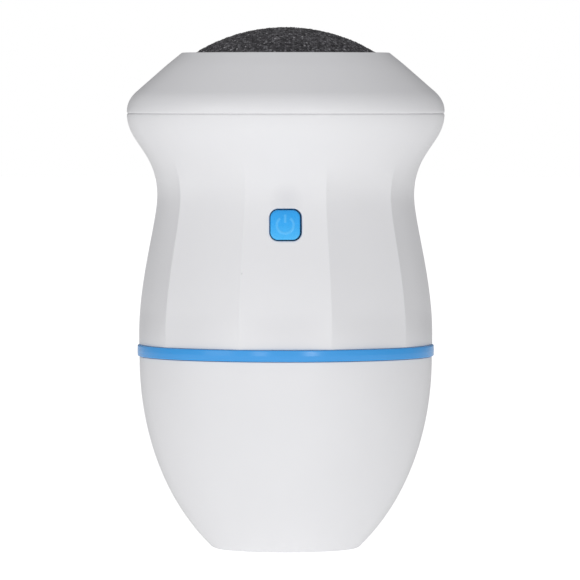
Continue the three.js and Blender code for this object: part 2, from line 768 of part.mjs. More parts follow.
// ---------------------------------------------------------------- wires
const through = (...points) =>
  new THREE.CatmullRomCurve3(points.map(([x, y, z]) => new THREE.Vector3(x, y, z)));
const WIRE_R = 0.65;
const BOARD_BACK_Y = BOARD_FRONT_Y + BOARD_T + 0.4;
add(
  housing,
  "wire_battery_red",
  wire(
    through(
      [9, 9, 60.1],
      [9.3, 8.8, 62.6],
      [13.6, 4, 63.8],
      [13.8, -8, 64.6],
      [7, -16, 66.2],
      [6, BOARD_BACK_Y, 66.5],
    ),
    WIRE_R,
    15,
  ),
  redWire,
);
add(
  housing,
  "wire_motor_red",
  wire(
    through([-6, BOARD_BACK_Y, 66.5], [-6.4, -14, 65.2], [-7.4, -8, 63.9], [-TERMINAL_X, -0.5, 63.5]),
    WIRE_R,
    10,
  ),
  redWire,
);
add(
  housing,
  "wire_battery_black",
  wire(
    through([9, -9, 60.1], [9, -8.6, 62.4], [8.2, -5, 63.6], [TERMINAL_X, -0.5, 63.6]),
    WIRE_R,
    10,
  ),
  blackWire,
);

export default remover;
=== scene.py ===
"""Electric callus remover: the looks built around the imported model.

Lengths are in millimetres until a mesh is made, and the model's front is -Y. A part is a pair of points
and faces; parts are turned, moved and joined first, and become a named piece at the end.
"""

from math import acos, asin, atan2, cos, degrees, exp, hypot, pi, radians, sin, sqrt, tan, tau

import bmesh
import bpy
import numpy as np
from mathutils import Matrix, Vector, noise

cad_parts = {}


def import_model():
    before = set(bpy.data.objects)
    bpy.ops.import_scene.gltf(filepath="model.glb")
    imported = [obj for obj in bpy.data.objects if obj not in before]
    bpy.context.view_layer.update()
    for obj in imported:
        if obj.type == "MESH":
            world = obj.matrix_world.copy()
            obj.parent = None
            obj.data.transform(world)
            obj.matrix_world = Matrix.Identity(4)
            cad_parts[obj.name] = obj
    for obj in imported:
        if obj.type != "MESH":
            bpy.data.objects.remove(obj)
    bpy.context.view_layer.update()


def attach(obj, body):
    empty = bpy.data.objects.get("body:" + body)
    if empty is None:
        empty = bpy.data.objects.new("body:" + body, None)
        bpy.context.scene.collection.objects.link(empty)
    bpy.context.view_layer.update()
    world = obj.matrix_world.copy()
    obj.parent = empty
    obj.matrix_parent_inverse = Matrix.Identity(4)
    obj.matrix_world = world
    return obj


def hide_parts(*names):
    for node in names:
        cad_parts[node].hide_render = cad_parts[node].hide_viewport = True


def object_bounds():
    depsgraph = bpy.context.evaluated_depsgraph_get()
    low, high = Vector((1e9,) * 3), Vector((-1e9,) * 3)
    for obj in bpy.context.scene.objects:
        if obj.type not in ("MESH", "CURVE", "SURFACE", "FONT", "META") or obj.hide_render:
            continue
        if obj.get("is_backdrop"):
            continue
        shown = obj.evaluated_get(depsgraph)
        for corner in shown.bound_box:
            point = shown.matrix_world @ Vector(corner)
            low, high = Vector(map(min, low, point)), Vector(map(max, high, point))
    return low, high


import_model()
MM = 0.001
HEAD = "grinding_head"

# ---- dimensions shared with the CAD
RING_LOW, RING_HIGH, RING_R = 46.2, 48.9, 35.6
RIM_R = 35.2
WAIST_R, WAIST_Z = 30.84, 84.6
SHOULDER_R, SEAM_Z = 38.1, 104.35
COVER_TOP, COVER_EDGE_R, OPENING_R = 118.9, 24.86, 23.6
DOME_R, DOME_Z, DISC_R = 41.3, 83.8, 22.4
FACETS = 10
BUTTON_Z, BUTTON_FACE_Y, BUTTON_LEAN = 78.25, -30.9, 0.2
DECK_Z, DECK_TOP = 91.0, 92.6
BOARD_FRONT, BOARD_BACK = -19.6, -18.4
BOARD_PILLARS = ((66.5, -31.3), (87.4, -29.0))
MOTOR_SCREW_X, HOLDER_SCREW_X = 8.0, 28.2
CELL_OFFSET, CELL_R, CELL_BODY = 7.6, 7.1, 49.5


def polar(r, angle):
    """A place at a radius and an angle in degrees."""
    return r * cos(radians(angle)), r * sin(radians(angle))


DECK_SCREWS = [polar(25.8, angle) for angle in (90, 210, 330)]


# ---- parts
def joined(*parts):
    """Several parts as one."""
    verts, faces = [], []
    for part_verts, part_faces in parts:
        faces += [tuple(len(verts) + i for i in face) for face in part_faces]
        verts += [tuple(v) for v in part_verts]
    return verts, faces


def placed(part, move=(0, 0, 0), turn=0, axis="Z"):
    """A part turned by some degrees about an axis through the origin, then moved."""
    matrix = Matrix.Translation(move) @ Matrix.Rotation(radians(turn), 4, axis)
    return [tuple(matrix @ Vector(v)) for v in part[0]], part[1]


def along_y(part):
    """A part drawn with its height along Z, laid down so that its height runs towards -Y."""
    return placed(part, turn=90, axis="X")


def skin(loops, start=None, end=None, wrap=False):
    """Quads between closed loops of as many points each, and a fan to a point at each end that has one.

    Loops that turn anticlockwise while they climb face outwards.
    """
    n = len(loops[0])
    verts = [p for loop in loops for p in loop]
    faces = []
    for i in range(len(loops) if wrap else len(loops) - 1):
        a, b = i * n, ((i + 1) % len(loops)) * n
        faces += [(a + j, a + (j + 1) % n, b + (j + 1) % n, b + j) for j in range(n)]
    if start is not None:
        faces += [(len(verts), (j + 1) % n, j) for j in range(n)]
        verts.append(start)
    if end is not None:
        last = (len(loops) - 1) * n
        faces += [(len(verts), last + j, last + (j + 1) % n) for j in range(n)]
        verts.append(end)
    return verts, faces


def fillet(outline, closed=False, steps=5):
    """An outline in which a point given as (u, v, radius) is rounded to that radius."""
    points = []
    n = len(outline)
    for i, corner in enumerate(outline):
        here = np.array(corner[:2], float)
        radius = corner[2] if len(corner) > 2 else 0
        if not radius or (not closed and i in (0, n - 1)):
            points.append(tuple(here))
            continue
        back = np.array(outline[i - 1][:2], float) - here
        on = np.array(outline[(i + 1) % n][:2], float) - here
        back_length, on_length = np.linalg.norm(back), np.linalg.norm(on)
        back, on = back / back_length, on / on_length
        half = acos(np.clip(back @ on, -1, 1)) / 2
        reach = min(radius / tan(half), back_length * 0.49, on_length * 0.49)
        radius = reach * tan(half)
        middle = (back + on) / np.linalg.norm(back + on)
        centre = here + middle * radius / sin(half)
        first, last = here + back * reach - centre, here + on * reach - centre
        a0, a1 = atan2(first[1], first[0]), atan2(last[1], last[0])
        turn = (a1 - a0 + pi) % (2 * pi) - pi
        for s in range(steps + 1):
            a = a0 + turn * s / steps
            points.append((centre[0] + radius * cos(a), centre[1] + radius * sin(a)))
    return points


def lathe(outline, sides=96, steps=4):
    """A body of revolution about Z from (r, z[, fillet]) points, anticlockwise with r to the right.

    An outline that starts and ends on the axis is a solid body, and any other closes on itself.
    """
    solid = outline[0][0] == 0 and outline[-1][0] == 0
    outline = fillet(outline, not solid, steps)
    angles = np.arange(sides) * 2 * pi / sides
    loops = [[(r * sin(a), -r * cos(a), z) for a in angles] for r, z in outline]
    if solid:
        return skin(loops[1:-1], loops[0][0], loops[-1][0])
    return skin(loops, wrap=True)


def tube(r_in, r_out, z0, z1, edge=0.15, sides=96):
    return lathe([(r_in, z0, edge), (r_out, z0, edge), (r_out, z1, edge), (r_in, z1, edge)], sides, 3)


def rod(r, z0, z1, edge=0.15, sides=48):
    return lathe([(0, z0), (r, z0, edge), (r, z1, edge), (0, z1)], sides, 3)


def circle(r, x=0.0, y=0.0, sides=40):
    return [(x + r * cos(a), y + r * sin(a)) for a in np.arange(sides) * 2 * pi / sides]


def rounded(width, height, r, x=0.0, y=0.0):
    """A rounded rectangle about a centre."""
    w, h = width / 2, height / 2
    corners = [(x + w, y - h, r), (x + w, y + h, r), (x - w, y + h, r), (x - w, y - h, r)]
    return fillet(corners, closed=True, steps=8)


def sector(r_in, r_out, middle, span, steps=16):
    """Part of a ring, centred on an angle in degrees."""
    angles = [middle - span / 2 + span * i / steps for i in range(steps + 1)]
    return [polar(r_out, a) for a in angles] + [polar(r_in, a) for a in angles[::-1]]


def prism(outline, z0, z1, *holes, edge=0.12):
    """A flat outline with any holes, made thick, with its edges rounded."""
    curve = bpy.data.curves.new("outline", "CURVE")
    curve.dimensions = "2D"
    curve.fill_mode = "BOTH"
    for points in (outline, *(hole[::-1] for hole in holes)):
        spline = curve.splines.new("POLY")
        spline.points.add(len(points) - 1)
        for point, (x, y) in zip(spline.points, points):
            point.co = (x, y, 0, 1)
        spline.use_cyclic_u = True
    curve.extrude = (z1 - z0) / 2 - edge
    curve.bevel_depth = edge
    curve.bevel_resolution = 1
    curve.offset = -edge
    made = new_object("outline", curve)
    bpy.context.view_layer.update()
    mesh = bpy.data.meshes.new_from_object(made.evaluated_get(bpy.context.evaluated_depsgraph_get()))
    work = bmesh.new()
    work.from_mesh(mesh)
    bmesh.ops.remove_doubles(work, verts=work.verts, dist=1e-3)
    bmesh.ops.recalc_face_normals(work, faces=work.faces)
    work.verts.ensure_lookup_table()
    verts = [(v.co.x, v.co.y, v.co.z + (z0 + z1) / 2) for v in work.verts]
    faces = [tuple(v.index for v in face.verts) for face in work.faces]
    work.free()
    bpy.data.objects.remove(made)
    bpy.data.curves.remove(curve)
    bpy.data.meshes.remove(mesh)
    return verts, faces


def smooth_path(points, steps=8):
    """A Catmull-Rom curve through some points."""
    p = [Vector(q) for q in points]
    p = [2 * p[0] - p[1], *p, 2 * p[-1] - p[-2]]
    out = []
    for i in range(1, len(p) - 2):
        a, b, c, d = p[i - 1 : i + 3]
        for s in range(steps):
            t = s / steps
            squared, cubed = 2 * a - 5 * b + 4 * c - d, 3 * b - a - 3 * c + d
            out.append(0.5 * (2 * b + (c - a) * t + squared * t**2 + cubed * t**3))
    return out + [p[-2]]


def sweep(path, radius, sides=16):
    """A round wire along a path, with rounded ends."""
    path = [Vector(p) for p in path]
    along = [(path[min(i + 1, len(path) - 1)] - path[max(i - 1, 0)]).normalized() for i in range(len(path))]
    side = along[0].orthogonal().normalized()
    angles = np.arange(sides) * tau / sides
    loops = []
    for i, (point, direction) in enumerate(zip(path, along)):
        side = (side - direction * side.dot(direction)).normalized()
        other = direction.cross(side)
        rings = [(0, 1)]  # radii ahead of the point, and the share of the radius there
        if i == 0:
            rings = [(-0.9, 0.43), (-0.6, 0.8)] + rings
        if i == len(path) - 1:
            rings += [(0.6, 0.8), (0.9, 0.43)]
        for ahead, scale in rings:
            centre, reach = point + direction * ahead * radius, radius * scale
            around = [side * cos(a) + other * sin(a) for a in angles]
            loops.append([tuple(centre + out * reach) for out in around])
    return skin(loops, tuple(path[0] - along[0] * radius), tuple(path[-1] + along[-1] * radius))


def bezier(p0, p1, p2, p3, n):
    """Points on a cubic Bezier curve."""
    out = []
    for i in range(n + 1):
        t = i / n
        w = ((1 - t) ** 3, 3 * t * (1 - t) ** 2, 3 * t * t * (1 - t), t**3)
        out.append(tuple(sum(w[k] * p[c] for k, p in enumerate((p0, p1, p2, p3))) for c in (0, 1)))
    return out


def offset(points, distance):
    """An outline moved to its left by a distance."""
    p = np.array(points, float)
    along = np.gradient(p, axis=0)
    along /= np.linalg.norm(along, axis=1)[:, None]
    return [tuple(q) for q in p + distance * np.column_stack([-along[:, 1], along[:, 0]])]


def on_dome(sphere_r, r):
    """The point at a radius, on a sphere about the dome's centre."""
    return r, DOME_Z + sqrt(sphere_r**2 - r * r)


def dome_arc(sphere_r, r_from, r_to, steps):
    """Points on a sphere about the dome's centre, between two radii."""
    return [on_dome(sphere_r, r_from + (r_to - r_from) * i / steps) for i in range(steps + 1)]


def ease(value, low, high):
    """0 below low, 1 above high, and smooth between."""
    t = min(max((value - low) / (high - low), 0.0), 1.0)
    return t * t * (3 - 2 * t)


def new_object(name, data):
    made = bpy.data.objects.new(name, data)
    bpy.context.scene.collection.objects.link(made)
    return made


def piece(name, part, finish, body, *nodes, smooth_angle=34):
    """A part as a piece that rides on a body, in place of any CAD nodes, smooth except at sharper edges.

    A finish is a material and the name of the record's material slot that it stands for; the slot name is
    not used.
    """
    verts, faces = part
    material, slot = finish
    data = bpy.data.meshes.new(name)
    data.from_pydata([tuple(c * MM for c in v) for v in verts], [], [tuple(f) for f in faces])
    data.validate()
    data.shade_smooth()
    data.set_sharp_from_angle(angle=radians(smooth_angle))
    data.materials.append(material)
    made = new_object(name, data)
    even = made.modifiers.new("even_shading", "WEIGHTED_NORMAL")
    even.keep_sharp = True
    if body:
        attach(made, body)
    if nodes:
        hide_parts(*nodes)
    return made


def remade(node, part, finish, body="housing", smooth_angle=34):
    """A part as the detailed piece that takes one CAD node's place."""
    return piece(f"{node}_fine", part, finish, body, node, smooth_angle=smooth_angle)


# ---- materials
def link(source, target):
    source.id_data.links.new(source, target)


def add_node(beside, kind, inputs, **settings):
    """A new node in another node's tree, with its inputs linked if they are sockets, and set if not."""
    made = beside.id_data.nodes.new("ShaderNode" + kind)
    for name, value in settings.items():
        setattr(made, name, value)
    for name, value in inputs.items():
        if isinstance(value, bpy.types.NodeSocket):
            link(value, made.inputs[name])
        else:
            made.inputs[name].default_value = value
    return made


def new_material(name):
    """A new material and its shader."""
    material = bpy.data.materials.new(name)
    material.use_nodes = True
    return material, material.node_tree.nodes["Principled BSDF"]


def link_look(shader, color, roughness, normal):
    """Link what a surface is made of to its shader."""
    for name, source in (("Base Color", color), ("Roughness", roughness), ("Normal", normal)):
        link(source, shader.inputs[name])


def place(beside, scale=(1, 1, 1)):
    """Object coordinates in millimetres, times a scale."""
    coord = add_node(beside, "TexCoord", {}).outputs["Object"]
    inputs = {"Vector": coord, "Scale": tuple(1000 * s for s in scale)}
    return add_node(beside, "Mapping", inputs).outputs["Vector"]


def split(vector):
    """A vector's X, Y and Z."""
    return add_node(vector, "SeparateXYZ", {"Vector": vector}).outputs


def noise_value(vector, scale, detail=3.0, roughness=0.5):
    inputs = {"Vector": vector, "Scale": scale, "Detail": detail, "Roughness": roughness}
    return add_node(vector, "TexNoise", inputs).outputs["Fac"]


def cells(vector, scale):
    """A distance from each cell's middle, and a random colour for each cell."""
    return add_node(vector, "TexVoronoi", {"Vector": vector, "Scale": scale}).outputs


def spread(value, low, high, from_low=0.3, from_high=0.7):
    """A value brought from one range to another, and kept inside it."""
    ranges = {"From Min": from_low, "From Max": from_high, "To Min": low, "To Max": high}
    return add_node(value, "MapRange", {"Value": value, **ranges}).outputs["Result"]


def ramp(value, *stops):
    """A colour for each of the stops (position, (r, g, b)), blended between them."""
    made = add_node(value, "ValToRGB", {"Fac": value})
    while len(made.color_ramp.elements) < len(stops):
        made.color_ramp.elements.new(0.5)
    for element, (position, color) in zip(made.color_ramp.elements, stops):
        element.position = position
        element.color = (*color, 1)
    return made.outputs["Color"]


def blend(factor, a, b):
    """Two colours, each a tuple or a socket, mixed by a factor."""
    made = add_node(factor, "Mix", {"Factor": factor}, data_type="RGBA")
    for value, socket in zip((a, b), (s for s in made.inputs if s.type == "RGBA")):
        if isinstance(value, tuple):
            socket.default_value = (*value, 1)
        else:
            link(value, socket)
    return next(s for s in made.outputs if s.type == "RGBA")


def bump(height, distance, over=None):
    """A normal from a height, which is worth so many millimetres at 1, over another normal."""
    made = add_node(height, "Bump", {"Height": height, "Distance": distance * MM})
    if over is not None:
        link(over, made.inputs["Normal"])
    return made.outputs["Normal"]


def shade(color, factor):
    return tuple(min(1.0, c * factor) for c in color)


def moulded(name, color, roughness, texture=0.004, waviness=0.02):
    """Injection-moulded plastic: faint colour drift, uneven gloss, a fine mould texture and slow waves."""
    material, shader = new_material(name)
    at = place(shader)
    drift = noise_value(at, 0.035, 4.0)
    drifting = ramp(drift, (0.3, shade(color, 0.985)), (0.7, shade(color, 1.015)))
    gloss = spread(noise_value(at, 0.25, 5.0, 0.6), roughness - 0.035, roughness + 0.035)
    fine = bump(noise_value(at, 5.0, 2.0), texture)
    waves = bump(noise_value(at, 0.06, 1.0), waviness, fine)
    link_look(shader, drifting, gloss, waves)
    return material


def metal(name, color, roughness, marks_depth=0.01, scale=(1, 1, 1)):
    """Plated or bright metal with fine tooling marks and a patchy sheen."""
    material, shader = new_material(name)
    at = place(shader, scale)
    patches = ramp(noise_value(at, 0.3, 4.0), (0.3, shade(color, 0.86)), (0.7, color))
    marks = noise_value(at, 2.5, 6.0, 0.7)
    sheen = spread(marks, roughness - 0.08, roughness + 0.08)
    link_look(shader, patches, sheen, bump(marks, marks_depth))
    shader.inputs["Metallic"].default_value = 1.0
    return material


def shell_white():
    """The shells' white plastic: painted shade towards the silhouettes, painted shade just above the button,
    and some dust.
    """
    color = (0.80, 0.80, 0.815)
    material = moulded("white_moulded", color, 0.36)
    base = material.node_tree.nodes["Principled BSDF"].inputs["Base Color"]
    drift = base.links[0].from_socket
    at = place(base)
    # painted shade: a soft darkening of the white just above the button
    away = add_node(at, "VectorMath", {0: at, 1: (0.2, -30.5, 84.0)}, operation="DISTANCE")
    button_shade_mask = spread(away.outputs["Value"], 0.3, 0.0, 0.3, 4.4)
    with_button_shade = blend(button_shade_mask, drift, (0.56, 0.56, 0.60))
    specks = spread(cells(at, 0.085)["Distance"], 0.5, 0.0, 0.014, 0.034)
    dusty = blend(specks, with_button_shade, shade(color, 0.55))
    # painted shade: the white is darker towards the silhouettes, where the surface turns away
    edge_shade = spread(add_node(base, "LayerWeight", {}).outputs["Facing"], 0.0, 0.22, 0.68, 1.0)
    link(blend(edge_shade, dusty, shade(color, 0.4)), base)
    return material


def cap_blue():
    """The button's blue plastic with painted shading, lighter at the bottom and darker towards its top, and
    its power mark in a paler tint.
    """
    material, shader = new_material("button_blue")
    at = place(shader)
    height = spread(split(at)["Z"], 0, 1, BUTTON_Z - 3.4, BUTTON_Z + 3.2)
    # painted shading: the cap's colour runs from lit at the bottom to shaded at the top
    lower, middle, upper = (0.060, 0.50, 0.98), (0.022, 0.42, 0.96), (0.014, 0.36, 0.87)
    body = ramp(height, (0.0, lower), (0.55, middle), (1.0, upper))
    mark = add_node(shader, "Attribute", {}, attribute_name="mark").outputs["Fac"]
    marked = blend(spread(mark, 0.0, 0.55, 0.0, 1.0), body, (0.13, 0.56, 1.0))
    gloss = spread(noise_value(at, 0.8, 4.0), 0.24, 0.34)
    link_look(shader, marked, gloss, bump(noise_value(at, 5.0, 2.0), 0.004))
    return material


def grit_material():
    """Dark mineral grains in black resin: every grain has its own tone, and a few have a painted glint."""
    material, shader = new_material("bonded_grit")
    at = place(shader)
    grains = cells(at, 2.0)
    tone = add_node(shader, "SeparateColor", {"Color": grains["Color"]}).outputs
    dark, mid = (0.012, 0.011, 0.014), (0.056, 0.054, 0.060)
    # painted glint: the brightest few grains stand in for grains catching the light
    light, glint = (0.21, 0.205, 0.22), (0.42, 0.41, 0.43)
    grain_color = ramp(tone["Red"], (0.0, dark), (0.5, mid), (0.95, light), (0.99, glint))
    creviced = blend(spread(grains["Distance"], 0.0, 0.75, 0.45, 0.8), grain_color, dark)
    dullness = spread(tone["Green"], 0.45, 0.9, 0, 1)
    relief = bump(noise_value(at, 9.0, 4.0), 0.05, bump(grains["Distance"], 0.28))
    link_look(shader, creviced, dullness, relief)
    return material


def foam(name, color, pore_scale, depth):
    """Cellular foam: a net of pores, with painted shade inside them."""
    material, shader = new_material(name)
    at = place(shader)
    pores = cells(at, pore_scale)["Distance"]
    # painted shade: each pore is darker towards its middle
    shaded_pores = ramp(pores, (0.1, shade(color, 0.45)), (0.6, color))
    dullness = spread(noise_value(at, 0.8), 0.85, 0.98)
    link_look(shader, shaded_pores, dullness, bump(pores, depth))
    return material


def board_material():
    """Green solder mask over runs of copper tracks, which turn from one patch of the board to the next."""
    material, shader = new_material("circuit_board_green")
    at = place(shader)
    inputs = {"Vector": at, "Scale": 0.24, "Randomness": 0.7}
    patches = add_node(shader, "TexVoronoi", inputs, distance="CHEBYCHEV").outputs["Color"]
    chance = add_node(shader, "SeparateColor", {"Color": patches}).outputs["Red"]
    waves = [add_node(at, "TexWave", {"Vector": at, "Scale": 0.26}, bands_direction=axis) for axis in "XZ"]
    turned = spread(chance, 0, 1, 0.5, 0.51)
    tracks = spread(blend(turned, *(w.outputs["Color"] for w in waves)), 0, 1, 0.66, 0.78)
    over_board, over_copper = (0.016, 0.11, 0.04), (0.035, 0.20, 0.075)
    mask = blend(tracks, over_board, over_copper)
    weave = noise_value(place(shader, (1, 1, 6)), 1.5, 3.0)
    relief = bump(weave, 0.01, bump(tracks, 0.03))
    link_look(shader, mask, spread(weave, 0.22, 0.4), relief)
    return material


def jacket_material():
    """A cell's printed film: pale grey with a blue band near one end, under a glossy coat."""
    material, shader = new_material("cell_jacket")
    at = place(shader)
    pale, band, line = (0.56, 0.58, 0.60), (0.04, 0.17, 0.42), (0.80, 0.81, 0.82)
    stops = [
        (0.0, band), (0.2, band), (0.205, line), (0.22, line), (0.225, pale),
        (0.80, pale), (0.805, band),
    ]
    print_color = ramp(spread(split(at)["Z"], 0, 1, 0, 60), *stops)
    scratches = noise_value(place(shader, (1, 1, 0.15)), 1.2, 6.0, 0.75)
    scuffed = blend(spread(scratches, 0.0, 0.35, 0.55, 0.8), print_color, (0.35, 0.36, 0.38))
    gloss = spread(noise_value(at, 0.6), 0.2, 0.34)
    ripples = bump(noise_value(place(shader, (1, 1, 0.4)), 0.4), 0.03)
    link_look(shader, scuffed, gloss, ripples)
    return material


WHITE = shell_white(), "white_abs"
CAP_BLUE = cap_blue(), "blue_abs"
BLUE = moulded("blue_moulded", (0.035, 0.375, 0.90), 0.38), "blue_abs"
RING_BLUE = moulded("ring_blue", (0.045, 0.345, 0.80), 0.2, waviness=0.006), "blue_abs"
GREY_PLASTIC = moulded("grey_moulded", (0.58, 0.59, 0.60), 0.5, 0.01), "grey_plastic"
DARK_PLASTIC = moulded("dark_moulded", (0.035, 0.037, 0.041), 0.48, 0.012), "dark_plastic"
SEAL = moulded("silicone_seal", (0.42, 0.44, 0.46), 0.62, 0.006), "seal"
RED = moulded("red_insulation", (0.50, 0.015, 0.012), 0.42, 0.01), "red_wire"
BLACK = moulded("black_insulation", (0.012, 0.012, 0.014), 0.42, 0.01), "black_wire"
MAGNET = moulded("ferrite", (0.02, 0.021, 0.024), 0.6, 0.03), "magnet"
GRIT = grit_material(), "grit"
PAD_FOAM = foam("pad_foam", (0.03, 0.03, 0.033), 3.0, 0.12), "pad_foam"
FILTER_FOAM = foam("filter_foam", (0.11, 0.115, 0.12), 1.4, 0.5), "filter"
STEEL = metal("plated_steel", (0.62, 0.63, 0.64), 0.32), "steel"
CAN_STEEL = metal("drawn_steel", (0.55, 0.56, 0.57), 0.34, 0.006, (1, 1, 0.08)), "steel"
NICKEL = metal("nickel_plate", (0.66, 0.65, 0.62), 0.24, 0.006), "nickel"
CELL_NICKEL = NICKEL[0], "cell"
BRASS = metal("brass", (0.60, 0.42, 0.16), 0.3), "brass"
COPPER = metal("copper", (0.60, 0.24, 0.09), 0.32, 0.02, (1, 1, 4)), "copper"
BOARD = board_material(), "board"
JACKET = jacket_material(), "cell"


# ---- upper shell
def flare_and_shoulder():
    """Heights and ridge radii of the upper shell's outside, from its lower rim to the seam."""
    flare = bezier((RIM_R, 50.6), (RIM_R + 0.2, 64.3), (WAIST_R, 78.2), (WAIST_R, WAIST_Z), 200)
    shoulder = bezier((WAIST_R, WAIST_Z), (WAIST_R, 95.4), (SHOULDER_R, 97.1), (SHOULDER_R, SHELL_HIGH), 200)
    r, z = np.array([(RIM_R, SHELL_LOW)] + flare + shoulder[1:]).T
    return z, r


SHELL_LOW, SHELL_HIGH = RING_HIGH + 0.03, SEAM_Z - 0.015
PROFILE_Z, PROFILE_R = flare_and_shoulder()


def outside_radius(angle, z):
    """Radius of the upper shell's outside: soft facets between crisp, slightly raised ridges."""
    r = float(np.interp(z, PROFILE_Z, PROFILE_R))
    at_rim, full_z, fade_z = 0.35, 58.0, (86.0, 94.5)
    amount = (at_rim + (1 - at_rim) * ease(z, SHELL_LOW, full_z)) * (1 - ease(z, *fade_z))
    step = 2 * pi / FACETS
    from_middle = angle - step * round(angle / step)
    flat = 1 - cos(step / 2) / cos(from_middle)
    flatness, softness = 0.72, 0.0022
    flat = hypot(flat, softness) - softness
    from_ridge = (step / 2 - abs(from_middle)) * r
    crest, crest_width = 0.07, 0.8
    raised = crest * (exp(-from_ridge / crest_width) - 1)
    return r * (1 - flatness * amount * flat) + raised * amount


INNER_Z = (46.4, 52, 54, 62, 78, 84.6, 91.5, 96.2, 99.6)
INNER_R = (33.25, 33.25, 31.9, 31.4, 28.3, 27.64, 29.2, 32.6, 33.8)


def inside_radius(angle, z):
    return float(np.interp(z, INNER_Z, INNER_R))


def on_wall(radius_at, x, z, front, depth=0.0):
    """The point of a wall at the front or the rear that has some x and z, moved inwards along Y."""
    angle = 0.0
    for _ in range(6):
        r = radius_at(angle if front else pi - angle, z)
        angle = asin(x / r)
    y = -r * cos(angle) + depth
    return (x, y if front else -y, z)


def shell_columns():
    """Angles of the shell's columns: close together at the ridges, the button and the vents."""
    near_ridge = (13.5, 15, 16, 16.7, 17.2, 17.55, 17.8)
    vent_edges = [0.87, 1.75, 2.62, 4.37, 6.1, 7.85, 9.6, 11.35, 13.1]
    angles = []
    for k in range(FACETS):
        middle = list(range(-12, 13, 1 if k == 0 else 3))
        if k == FACETS // 2:
            middle = [-a for a in vent_edges[::-1]] + [0] + vent_edges
        angles += [36 * k - 18] + [36 * k - a for a in near_ridge[::-1]]
        angles += [36 * k + a for a in middle] + [36 * k + a for a in near_ridge]
    return np.radians(sorted(angles))


VENT_STEP = 5.235  # degrees between two vents, which are 3 mm apart
VENT = {"z": 66.0, "spread": 2.62, "rows": (59.5, 72.5), "half": (0.7, 5.0), "corner": 0.69}
# An opening has a middle in degrees and z, a window in the shell's grid that spreads some degrees each way
# between two rows, and half a width, half a height and a corner radius.
SHELL_OPENINGS = [
    {"middle": 0.0, "z": BUTTON_Z, "spread": 12.0, "rows": (71.5, 84.5), "half": (3.8, 3.8), "corner": 2.1},
    *({"middle": 180 + VENT_STEP * k, **VENT} for k in (-2, -1, 0, 1, 2)),
]
SEAM_GROOVE = ((0.0, 0.24), (0.1, 0.13), (0.22, 0.04), (0.34, 0.0))  # back from the seam, and depth there


def shell_skin():
    """The upper shell as one skin, with a rounded opening for the button and five vent slots at the rear."""
    columns = shell_columns()
    n = len(columns)
    wall_z = [z / 2 for z in range(99, 208)]  # a row at every half millimetre
    outer = [
        (None, SHELL_LOW, -0.12), (None, SHELL_LOW + 0.04, -0.04), (None, SHELL_LOW + 0.14, 0),
        *((None, z, 0) for z in wall_z if SHELL_LOW + 0.4 < z < SHELL_HIGH - 0.4),
        *((None, SHELL_HIGH - back, -depth) for back, depth in SEAM_GROOVE[::-1]),
    ]
    inner = [(36.1, SHELL_HIGH, 0), (36.1, 99.7, 0), (36.0, 99.6, 0), (33.9, 99.6, 0)]
    inner_start = len(outer) + len(inner)
    inner_z = [z for z in wall_z if 52.5 <= z <= 99.0][::-1]
    inner += [(None, z, 0) for z in inner_z]
    inner += [(33.25, 52.0, 0), (33.25, 46.4, 0), (34.2, 46.4, 0), (34.2, SHELL_LOW, 0)]
    rows = outer + inner
    verts = []
    for i, (r, z, grow) in enumerate(rows):
        radius_at = outside_radius if i < len(outer) else inside_radius
        for a in columns:
            here = (radius_at(a, z) if r is None else r) + grow
            verts.append((here * sin(a), -here * cos(a), z))
    outer_row = {z: i for i, (_, z, _) in enumerate(outer)}
    inner_row = {z: inner_start + i for i, z in enumerate(inner_z)}
    removed = set()
    faces = []
    for opening in SHELL_OPENINGS:
        rims = []
        for radius_at, row_of, side in ((outside_radius, outer_row, 1), (inside_radius, inner_row, -1)):
            rim = opening_border(opening, columns, row_of, side, wall_z, removed)
            rims.append(grow_rim(opening, rim, radius_at, side, verts, faces, n))
        for k in range(len(rims[0])):
            m = (k + 1) % len(rims[0])
            faces.append((rims[0][k], rims[0][m], rims[1][m], rims[1][k]))
    for i in range(len(rows)):
        a, b = i * n, ((i + 1) % len(rows)) * n
        kept = [j for j in range(n) if (i, j) not in removed]
        faces += [(a + j, a + (j + 1) % n, b + (j + 1) % n, b + j) for j in kept]
    used = sorted({v for face in faces for v in face})
    place_in_used = {v: i for i, v in enumerate(used)}
    return [verts[v] for v in used], [tuple(place_in_used[v] for v in face) for face in faces]


def opening_border(opening, columns, row_of, side, wall_z, removed):
    """Grid places around an opening's window, anticlockwise from outside. Marks its squares as removed."""
    n = len(columns)
    at_degrees = np.degrees(columns)

    def column(angle):
        return int(np.argmin(np.abs((at_degrees - angle + 180) % 360 - 180)))

    first = column(opening["middle"] - opening["spread"])
    last = column(opening["middle"] + opening["spread"])
    span = [(first + k) % n for k in range((last - first) % n + 1)]
    z0, z1 = opening["rows"]
    z_rows = [z for z in wall_z if z0 <= z <= z1]
    for z in z_rows[:-1]:
        row = row_of[z] if side > 0 else row_of[z] - 1
        removed.update((row, c) for c in span[:-1])
    border = [(row_of[z0], c) for c in span[:-1]]
    border += [(row_of[z], span[-1]) for z in z_rows[:-1]]
    border += [(row_of[z1], c) for c in span[:0:-1]]
    border += [(row_of[z], span[0]) for z in z_rows[:0:-1]]
    return border


